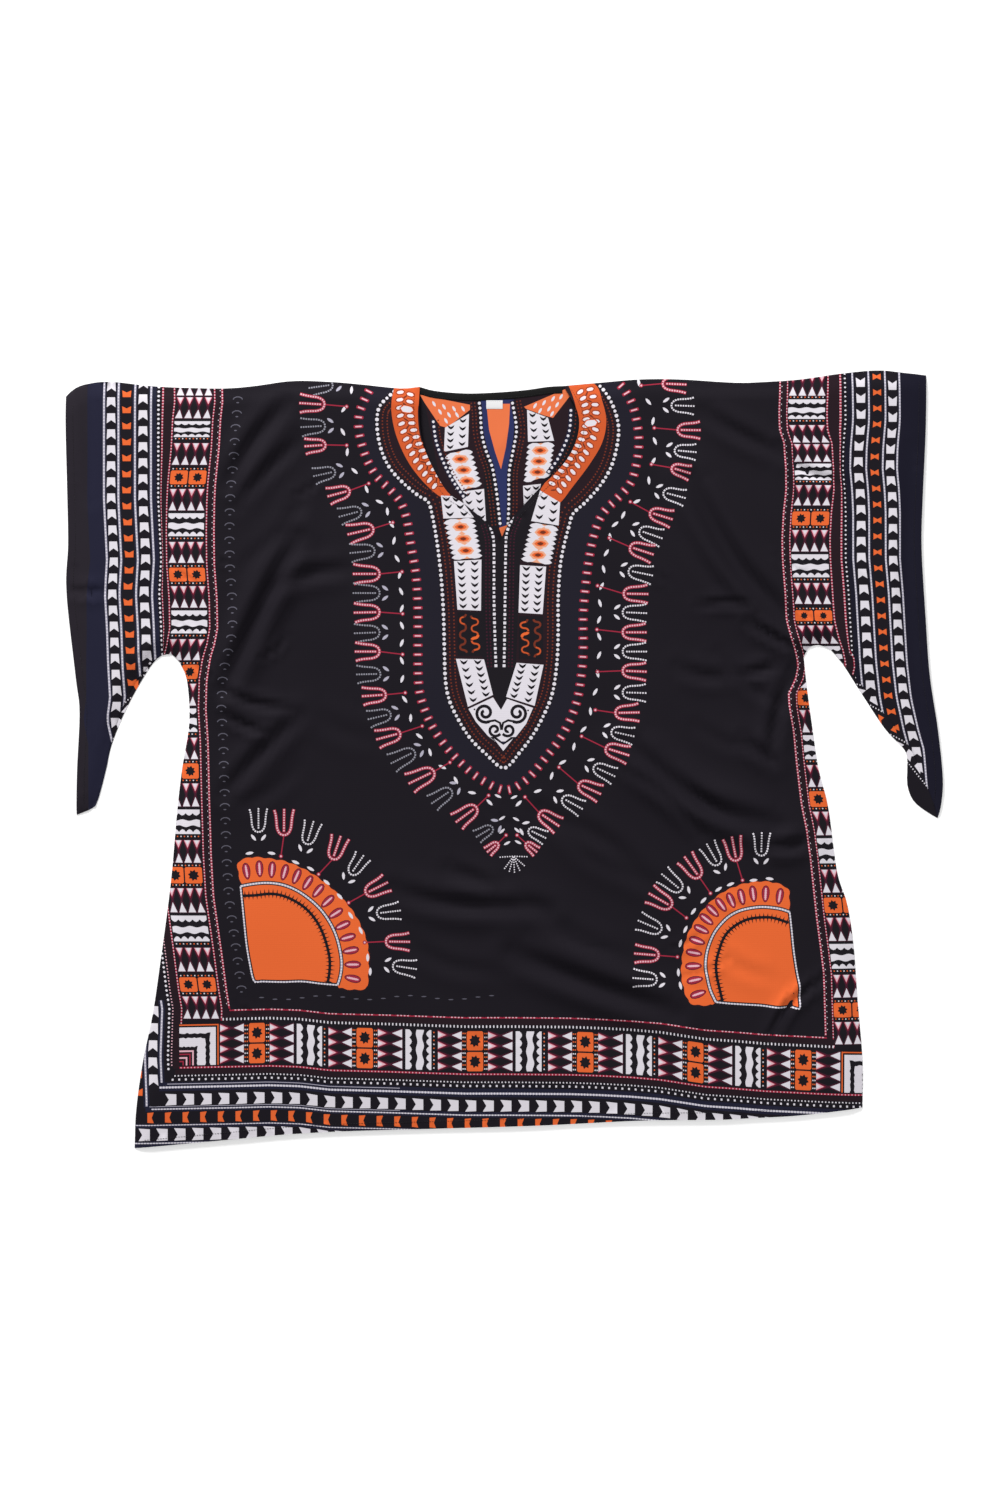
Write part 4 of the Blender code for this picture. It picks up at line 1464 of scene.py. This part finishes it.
def woven(name, rgb, rough=0.82, thread=0.00042, depth=0.25, gloss=0.1):
    """A plain weave: crossed threads, uneven slubs and soft changes of gloss."""
    dye = bpy.data.materials.new(name)
    dye.use_nodes = True
    tree = dye.node_tree
    link = tree.links.new
    shader = tree.nodes["Principled BSDF"]
    shader.inputs["Base Color"].default_value = (*swatch(rgb), 1)
    shader.inputs["Specular IOR Level"].default_value = gloss
    where = add_node(tree, "TexCoord", {}).outputs["Object"]

    weave = add_node(tree, "Math", {}, operation="MAXIMUM")
    threads = {"Scale": 1 / (thread * 20), "Distortion": 1.2, "Detail": 1.0, "Detail Scale": 0.6}
    for k, direction in enumerate(("X", "Y")):
        wave = add_node(tree, "TexWave", threads, wave_type="BANDS", bands_direction=direction)
        link(where, wave.inputs["Vector"])
        link(wave.outputs["Fac"], weave.inputs[k])
    stretch = add_node(tree, "Mapping", {"Scale": (0.16, 1.0, 1.0)})
    slub = add_node(tree, "TexNoise", {"Scale": 420, "Detail": 2.0})
    link(where, stretch.inputs["Vector"])
    link(stretch.outputs["Vector"], slub.inputs["Vector"])
    total = add_node(tree, "Math", {}, operation="ADD")
    link(weave.outputs["Value"], total.inputs[0])
    link(slub.outputs["Fac"], total.inputs[1])
    bump = add_node(tree, "Bump", {"Strength": depth, "Distance": 0.00012})
    link(total.outputs["Value"], bump.inputs["Height"])
    link(bump.outputs["Normal"], shader.inputs["Normal"])

    patches = add_node(tree, "TexNoise", {"Scale": 9, "Detail": 3.0})
    gloss_range = add_node(tree, "MapRange", {"To Min": rough - 0.08, "To Max": rough + 0.1})
    link(where, patches.inputs["Vector"])
    link(patches.outputs["Fac"], gloss_range.inputs["Value"])
    link(gloss_range.outputs["Result"], shader.inputs["Roughness"])
    return dye


dyes = {name: woven("ink_" + name, rgb) for name, rgb in SWATCHES.items()}
print("inks:", ", ".join(dyes))

# %% [markdown]
# ## Cutting the cloth along its print
# Each panel is cut into small faces whose edges follow the motifs, so every motif has a crisp edge at any
# distance. The printed face is fine, the other face is coarse, and a narrow rim joins them, so the cloth
# is one closed shell. A grid of squares could carry the inks too, but its steps would show along every
# curve.

# %% Areas and insides
def area_of(p):
    """The area inside a ring of points, below 0 where it runs clockwise."""
    x, y = p[:, 0], p[:, 1]
    return 0.5 * float(np.dot(x, np.roll(y, -1)) - np.dot(y, np.roll(x, -1)))


def inside(outline, points):
    """Which points lie inside an outline: a line from such a point crosses it an odd number of times."""
    x, y = points[:, 0], points[:, 1]
    found = np.zeros(len(points), bool)
    for (x1, y1), (x2, y2) in zip(outline, np.roll(outline, -1, axis=0)):
        if y1 != y2:
            found ^= ((y1 > y) != (y2 > y)) & (x < (x2 - x1) * (y - y1) / (y2 - y1) + x1)
    return found


# %% Points that fill a panel
EDGE_RINGS = (1.2, 3.2)


def rings_of_points(outline, step):
    """Staggered rows of points inside an outline, with rings close to its edge where the cloth turns down."""
    low, high = outline.min(0), outline.max(0)
    rows = np.arange(low[1], high[1], step * math.sqrt(3) / 2)
    columns = np.arange(low[0], high[0], step)
    grid = np.array([(x + (step / 2 if i % 2 else 0), y) for i, y in enumerate(rows) for x in columns])
    grid = grid[inside(outline, grid)]
    loop = np.vstack([outline, outline[:1]])
    near, _ = distance_to(loop, grid, step)
    grid = grid[near > max(0.5 * step, 1.5 * max(EDGE_RINGS))]
    along = np.roll(outline, -1, axis=0) - np.roll(outline, 1, axis=0)
    along /= np.linalg.norm(along, axis=1)[:, None]
    normal = np.column_stack([-along[:, 1], along[:, 0]])
    if area_of(outline) < 0:
        normal = -normal
    for inset in EDGE_RINGS:
        ring = outline + normal * inset
        ring = ring[inside(outline, ring)]
        near, _ = distance_to(loop, ring, 2 * inset)
        grid = np.vstack([grid, ring[near > 0.8 * inset]])
    return grid


# %% Cutting
def cut_faces(outline, stamps, step):
    """Triangles that fill the outline and follow the stamps, each with its ink's name."""
    outline = outline if area_of(outline) > 0 else outline[::-1]
    points = [outline]
    faces = [list(range(len(outline)))]
    inks = ["ground"]
    count = len(outline)
    low, high = outline.min(0), outline.max(0)
    for ink, p in stamps:
        if (p.max(0) < low).any() or (p.min(0) > high).any():
            continue
        size = area_of(p)
        if abs(size) < 0.02:
            continue
        p = p if size > 0 else p[::-1]
        faces.append(list(range(count, count + len(p))))
        inks.append(ink)
        points.append(p)
        count += len(p)
    points.append(rings_of_points(outline, step))
    everything = np.vstack(points)
    verts, _, cut, _, _, origins = delaunay_2d_cdt([Vector(p) for p in everything], [], faces, 1, 1e-3)
    flat = np.array([tuple(v) for v in verts])
    a, b, c = (flat[np.array(cut)[:, k]] for k in range(3))
    sizes = 0.5 * np.abs((b - a)[:, 0] * (c - a)[:, 1] - (b - a)[:, 1] * (c - a)[:, 0])
    filled = np.zeros(len(faces))
    for size, origin in zip(sizes, origins):
        for face in origin:
            filled[face] += size
    # A shape whose points fell together can spread over its neighbours, so one that has grown is left out.
    own = np.array([abs(area_of(everything[face])) for face in faces])
    sound = filled < 1.4 * own + 1.0
    sound[0] = True
    kept, names = [], []
    for face, origin in zip(cut, origins):
        if 0 in origin:
            kept.append(face)
            names.append(inks[max(shape for shape in origin if sound[shape])])  # the latest stamp lies on top
    print("shapes left out:", int((~sound).sum()))
    used = np.unique(np.concatenate([np.asarray(f) for f in kept]))
    new = np.full(len(flat), -1)
    new[used] = np.arange(len(used))
    triangles_out = []
    ink_out = []
    for face, name in zip(kept, names):
        face = new[face]
        for k in range(1, len(face) - 1):
            triangles_out.append((face[0], face[k], face[k + 1]))
            ink_out.append(name)
    return flat[used], np.array(triangles_out), ink_out


# %% The rim
def rim_loop(faces, flat, start):
    """The outer edge of a fill as one loop of points, from the one nearest to start."""
    edges = np.vstack([faces[:, [0, 1]], faces[:, [1, 2]], faces[:, [2, 0]]])
    pairs = {(int(a), int(b)) for a, b in edges}
    follow = {a: b for a, b in pairs if (b, a) not in pairs}
    loop = [min(follow, key=lambda i: math.dist(flat[i], start))]
    while follow[loop[-1]] != loop[0]:
        loop.append(follow[loop[-1]])
    if len(loop) != len(follow):
        raise ValueError(f"the edge has more than one loop: {len(loop)} of {len(follow)}")
    return loop


# %% A closed panel
def shell(name, outline, upper, lower, top_z, bottom_z, top_step, low_step):
    """A closed sheet of cloth. upper and lower are the stamps of its faces; one without any stays plain."""
    top, top_faces, top_inks = cut_faces(outline, upper, top_step)
    low, low_faces, low_inks = cut_faces(outline, lower, low_step)
    start = outline[0]
    over, under = rim_loop(top_faces, top, start), rim_loop(low_faces, low, start)

    def shares(loop, flat):
        p = flat[loop]
        steps = np.linalg.norm(np.roll(p, -1, axis=0) - p, axis=1)
        return np.concatenate([[0], np.cumsum(steps)]) / steps.sum()

    over_at, under_at = shares(over, top), shares(under, low)
    shift = len(top)
    rim = []
    i = j = 0
    while i < len(over) or j < len(under):
        a, b = over[i % len(over)], under[j % len(under)] + shift
        if j >= len(under) or (i < len(over) and over_at[i + 1] <= under_at[j + 1]):
            rim.append((a, b, over[(i + 1) % len(over)]))
            i += 1
        else:
            rim.append((a, b, under[(j + 1) % len(under)] + shift))
            j += 1
    z = np.concatenate([top_z(top), bottom_z(low)])
    flat = np.vstack([top, low])
    verts = np.column_stack([flat - ORIGIN, z]) * MM
    faces = np.vstack([top_faces, low_faces[:, ::-1] + shift, np.array(rim)])
    if not lower:
        low_inks = ["inside"] * len(low_inks)
    slots = sorted({*top_inks, *low_inks, "ground"})
    names = top_inks + low_inks + ["ground"] * len(rim)
    mesh = bpy.data.meshes.new(name)
    mesh.from_pydata(verts.tolist(), [], faces.tolist())
    for ink in slots:
        mesh.materials.append(dyes[ink])
    mesh.polygons.foreach_set("material_index", np.array([slots.index(ink) for ink in names], np.int32))
    mesh.polygons.foreach_set("use_smooth", np.ones(len(faces), bool))

    def slopes(height, p):
        """The directions that stand upright on a height, for smooth shading across the small faces."""
        h = 0.6
        dx = (height(p + (h, 0)) - height(p - (h, 0))) / (2 * h)
        dy = (height(p + (0, h)) - height(p - (0, h))) / (2 * h)
        n = np.column_stack([-dx, -dy, np.ones(len(p))])
        return n / np.linalg.norm(n, axis=1)[:, None]

    normals = np.vstack([slopes(top_z, top), -slopes(bottom_z, low)])
    mesh.normals_split_custom_set_from_vertices(normals.tolist())
    # For a colour bake the side with more print gets nearly the whole square, and the other a corner of it.
    size = outline.max(0) - outline.min(0)
    uv = mesh.uv_layers.new(name="OFBake")
    unit = (flat - outline.min(0)) / size.max()
    on_top = np.arange(len(flat)) < shift
    main = ~on_top if len(lower) > len(upper) else on_top
    unit = np.where(main[:, None], unit, unit * 0.1 + (0.0, 0.895))
    corner = np.zeros(len(mesh.loops), np.int32)
    mesh.loops.foreach_get("vertex_index", corner)
    uv.data.foreach_set("uv", unit[corner].astype(np.float32).ravel())
    panel = bpy.data.objects.new(name, mesh)
    bpy.context.scene.collection.objects.link(panel)
    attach(panel, "root")
    print(f"{name}: {len(top_faces)} faces above, {len(low_faces)} below, {len(rim)} on the rim")
    return panel


# %% The front panel
front = shell(
    "front_cloth", FRONT_OUTLINE, front_print, [],
    lambda p: front_layers(p)[1], lambda p: front_layers(p)[0], 8.0, 10.0,
)  # fmt: skip
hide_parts("front")


# %% [markdown]
# ## The back
# The back's outer side lies on the surface and carries the same print. Its inner side shows in the neck,
# and in two narrow strips at the undersides of the sleeves, where it rolls round to the seam. The
# border's rows meet their own mirror image at that seam.

# %% Shapes near the seam, turned over it
def mirrored_over(edge, stamps, reach):
    """The shapes near an edge, turned over it like a page."""
    line = whole_line(edge, 8)
    far = np.concatenate([[0], np.cumsum(np.linalg.norm(np.diff(line, axis=0), axis=1))])
    turned = []
    for ink, p in stamps:
        near, share = distance_to(line, p)
        if near.min() > reach:
            continue
        foot = np.column_stack([np.interp(share * far[-1], far, line[:, k]) for k in (0, 1)])
        page = 2 * foot - p
        if abs(area_of(page)) > 0.4 * abs(area_of(p)):
            turned.append((ink, page))
    return turned


# %% The back panel
sleeve_rows = [(ink, p) for ink, p in collect(left_sleeve_columns, right_sleeve_columns) if len(p) < 10]
strips = mirrored_over(ROLL_RIGHT[1:-2], sleeve_rows, 26) + mirrored_over(ROLL_LEFT[2:-1], sleeve_rows, 26)
back = shell(
    "back_cloth", BACK_OUTLINE, inside_print + strips, back_print,
    lambda p: back_height(p) + CLOTH, back_height, 16.0, 10.0,
)  # fmt: skip
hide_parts("back")

# %% [markdown]
# ## Facing and label
# A strip of black cotton faces the back neck, sewn down along its lower edge. The woven label under it is
# white satin and stays blank. Both are soft strips, a little plumper in the middle than at their edges,
# because a flat plate would look like card.

# %% Their cloth and sizes
dyes["facing"] = woven("facing_cotton", (17, 15, 18), rough=0.72, thread=0.0006, depth=0.35, gloss=0.18)
dyes["label"] = woven("label_satin", (240, 239, 240), rough=0.42, thread=0.0003, depth=0.2, gloss=0.4)
FACING_DEPTH, FACING_END, FACING_THICK = 9.0, 1.5, 0.55
LABEL_WIDE, LABEL_DEEP, LABEL_THICK, LABEL_X = 20.0, 10.5, 0.4, -10.5
STRIP_GAP = 0.08  # between a strip and the cloth under it

neck_edge = whole_line(BACK_NECK, 6)
facing_top = neck_edge.copy()
facing_top[:, 0] = np.clip(facing_top[:, 0], BACK_NECK[0][0] + FACING_END, BACK_NECK[-1][0] - FACING_END)


# %% A soft strip
def soft_strip(name, ink, rows, thick, rise):
    """A thin strip between two rows of points, a little plumper in the middle than at its edges."""
    mesh = bmesh.new()
    across = np.array((0.0, 0.06, 0.2, 0.5, 0.8, 0.94, 1.0))
    crown = np.array((0.35, 0.75, 0.95, 1.0, 0.95, 0.75, 0.35)) * thick
    tops, lows = [], []
    for upper, lower in rows:
        p = np.array([np.array(upper) * (1 - u) + np.array(lower) * u for u in across])
        base = back_height(p) + CLOTH + rise
        tops.append([mesh.verts.new(Vector((*(q - ORIGIN), b + c)) * MM) for q, b, c in zip(p, base, crown)])
        lows.append([mesh.verts.new(Vector((*(q - ORIGIN), b)) * MM) for q, b in zip(p, base)])
    for i in range(len(rows) - 1):
        for k in range(len(across) - 1):
            mesh.faces.new((tops[i][k], tops[i][k + 1], tops[i + 1][k + 1], tops[i + 1][k]))
            mesh.faces.new((lows[i][k], lows[i + 1][k], lows[i + 1][k + 1], lows[i][k + 1]))
        for k in (0, -1):
            mesh.faces.new((tops[i][k], tops[i + 1][k], lows[i + 1][k], lows[i][k]))
    for i in (0, -1):
        for k in range(len(across) - 1):
            mesh.faces.new((tops[i][k], tops[i][k + 1], lows[i][k + 1], lows[i][k]))
    bmesh.ops.recalc_face_normals(mesh, faces=mesh.faces)
    data = bpy.data.meshes.new(name)
    mesh.to_mesh(data)
    mesh.free()
    data.materials.append(dyes[ink])
    data.shade_smooth()
    data.set_sharp_from_angle(angle=math.radians(60))
    strip = bpy.data.objects.new(name, data)
    bpy.context.scene.collection.objects.link(strip)
    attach(strip, "root")
    return strip


# %% The facing
facing_rows = [(p - (0, 0.4), p - (0, FACING_DEPTH)) for p in facing_top]
facing = soft_strip("neck_facing", "facing", facing_rows, FACING_THICK, STRIP_GAP)
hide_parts("back_neck_facing")
# %% The label
label_top = np.interp(LABEL_X, neck_edge[:, 0], neck_edge[:, 1]) - FACING_DEPTH - 0.6
label_xs = LABEL_X + np.linspace(-LABEL_WIDE / 2, LABEL_WIDE / 2, 9)
label_rows = [((x, label_top), (x, label_top - LABEL_DEEP)) for x in label_xs]
label = soft_strip("neck_label_satin", "label", label_rows, LABEL_THICK, STRIP_GAP)
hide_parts("neck_label")
print("label:", LABEL_WIDE, "x", LABEL_DEEP, "mm")


# %% [markdown]
# ## Sewing
# The cuffs and the hem are turned once and stitched 9 mm from the edge, and the V neck is stitched 6 mm
# from it. The thread is black and shows as short raised stitches. The facing and the label have their own
# row. They are built as small forms and not painted on, so that they catch the light.

# %% Thread and rows
dyes["thread"] = woven("sewing_thread", (30, 27, 32), rough=0.5, thread=0.0002, depth=0.3, gloss=0.3)


def inset_line(edge, inset, ends, step=3.2):
    """Points a stitch apart, moved in from an edge of the front and kept off its ends."""
    path = Path(edge, 4.0)
    side = 1.0 if inside(FRONT_OUTLINE, np.array([path.at(path.length / 2, 2.0)]))[0] else -1.0
    return [path.at(s, side * inset) for s in np.arange(ends[0], path.length - ends[1], step)]


# %% Raised stitches
def stitches(name, rows, height, thick=0.42):
    """Short rounded stitches along rows of points, sunk a little in the cloth."""
    verts, faces = [], []
    for row in rows:
        p = np.array(row)
        z = height(p)
        for (x0, y0), (x1, y1), za, zb in zip(p[:-1], p[1:], z[:-1], z[1:]):
            d = np.array((x1 - x0, y1 - y0))
            long = np.linalg.norm(d)
            if long > 8:
                continue
            d /= long
            n = np.array((-d[1], d[0])) * thick / 2
            base = len(verts)
            for u, swell in ((0.12, 0.3), (0.3, 1.0), (0.62, 1.0), (0.8, 0.3)):
                q = np.array((x0, y0)) + d * long * u
                level = za + (zb - za) * u - 0.12
                for side, up in ((-1, 0.0), (-0.7, 0.8), (0.7, 0.8), (1, 0.0)):
                    verts.append((*(q + n * side * (0.6 + 0.4 * swell) - ORIGIN), level + up * swell * thick))
            for i in range(3):
                for k in range(3):
                    a = base + 4 * i + k
                    faces.append((a, a + 4, a + 5, a + 1))
                a = base + 4 * i
                faces.append((a, a + 3, a + 7, a + 4))
            faces.append((base, base + 1, base + 2, base + 3))
            faces.append((base + 15, base + 14, base + 13, base + 12))
    data = bpy.data.meshes.new(name)
    data.from_pydata((np.array(verts) * MM).tolist(), [], faces)
    data.materials.append(dyes["thread"])
    data.shade_smooth()
    work = bpy.data.objects.new(name, data)
    bpy.context.scene.collection.objects.link(work)
    mesh = bmesh.new()
    mesh.from_mesh(data)
    bmesh.ops.recalc_face_normals(mesh, faces=mesh.faces)
    mesh.to_mesh(data)
    mesh.free()
    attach(work, "root")
    return work


# %% All the sewing
# edge, how far in, and how far from its two ends
SEWN_ROWS = (
    (CUFF_RIGHT, 9, (8, 14)), (HEM, 9, (10, 10)), (CUFF_LEFT, 9, (14, 8)),
    (NECK_LEFT, 6, (8, 3)), (NECK_RIGHT, 6, (3, 8)),
)  # fmt: skip
front_rows = [inset_line(*row) for row in SEWN_ROWS]
front_stitches = stitches("front_stitching", front_rows, lambda p: front_layers(p)[1])
facing_row = [tuple(p - (0, FACING_DEPTH - 1.6)) for p in whole_line(BACK_NECK, 3.0)[2:-2]]
label_row = [(x, label_top - 1.2) for x in np.arange(LABEL_X - 9, LABEL_X + 9.1, 2.4)]
facing_stitches = stitches("facing_stitching", [facing_row], lambda p: back_height(p) + CLOTH + 0.5, 0.36)
label_stitches = stitches("label_stitching", [label_row], lambda p: back_height(p) + CLOTH + 0.38, 0.3)
print("stitches on the front:", len(front_stitches.data.polygons) // 14)

# %% [markdown]
# ## What each cloth is cut to
# The two panels are flat sheets, laid on each other. Their flat areas come from their outlines.

# %% Sheets
def area_m2(outline):
    return abs(area_of(outline)) * 1e-6


print("flat areas:", round(area_m2(FRONT_OUTLINE), 3), round(area_m2(BACK_OUTLINE), 3), "m2")

# %% [markdown]
# ## Floor, light and camera
# The shirt lies on a white table under even studio light, seen straight from above. One large soft lamp
# stands beyond the neck, a little to the left, and its low light shows the folds. A weak one opposite
# fills the shadows.

# %% The table
FLOOR_HALF, FLOOR_Z = 3, -0.0002
corners = [(x * FLOOR_HALF, y * FLOOR_HALF, FLOOR_Z) for x, y in ((-1, -1), (1, -1), (1, 1), (-1, 1))]
mesh = bpy.data.meshes.new("floor")
mesh.from_pydata(corners, [], [(0, 1, 2, 3)])
floor = bpy.data.objects.new("floor", mesh)
bpy.context.scene.collection.objects.link(floor)
paper = bpy.data.materials.new("table_paper")
paper.use_nodes = True
paper_shader = paper.node_tree.nodes["Principled BSDF"]
paper_shader.inputs["Base Color"].default_value = (0.93, 0.93, 0.93, 1)
paper_shader.inputs["Roughness"].default_value = 0.95
paper_shader.inputs["Specular IOR Level"].default_value = 0.0
paper_shader.inputs["Emission Color"].default_value = (1, 1, 1, 1)
paper_shader.inputs["Emission Strength"].default_value = 0.3
grain = paper.node_tree.nodes.new("ShaderNodeTexNoise")
grain.inputs["Scale"].default_value = 900
grain_bump = paper.node_tree.nodes.new("ShaderNodeBump")
grain_bump.inputs["Strength"].default_value = 0.05
paper.node_tree.links.new(grain.outputs["Fac"], grain_bump.inputs["Height"])
paper.node_tree.links.new(grain_bump.outputs["Normal"], paper_shader.inputs["Normal"])
mesh.materials.append(paper)

# %% Light
world = bpy.data.worlds.new("studio")
bpy.context.scene.world = world
world.use_nodes = True
world.node_tree.nodes["Background"].inputs["Color"].default_value = (1, 1, 1, 1)
world.node_tree.nodes["Background"].inputs["Strength"].default_value = 0.36


def lamp(name, place, target, size, power):
    light = bpy.data.lights.new(name, "AREA")
    light.shape = "RECTANGLE"
    light.size, light.size_y = size
    light.energy = power
    lamp_object = bpy.data.objects.new(name, light)
    bpy.context.scene.collection.objects.link(lamp_object)
    lamp_object.location = place
    lamp_object.rotation_euler = (Vector(target) - Vector(place)).to_track_quat("-Z", "Y").to_euler()


lamp("key", (-2.1, 5.0, 2.2), (0, 0, 0), (1.8, 1.8), 560)
lamp("fill", (2.6, -1.6, 2.6), (0, 0, 0), (2.0, 2.0), 40)

# %% Camera
CAMERA_X, CAMERA_Y, CAMERA_HEIGHT = -3.7, 10.4, 3.0  # millimetres in the tables above, and metres up
camera = bpy.data.cameras.new("camera")
camera.lens = 58.8
camera.sensor_width = 36
camera.clip_end = 50
camera_object = bpy.data.objects.new("camera", camera)
bpy.context.scene.collection.objects.link(camera_object)
camera_object.location = ((CAMERA_X - ORIGIN[0]) * MM, (CAMERA_Y - ORIGIN[1]) * MM, CAMERA_HEIGHT)
bpy.context.scene.camera = camera_object
bpy.context.scene.view_settings.view_transform = "Standard"
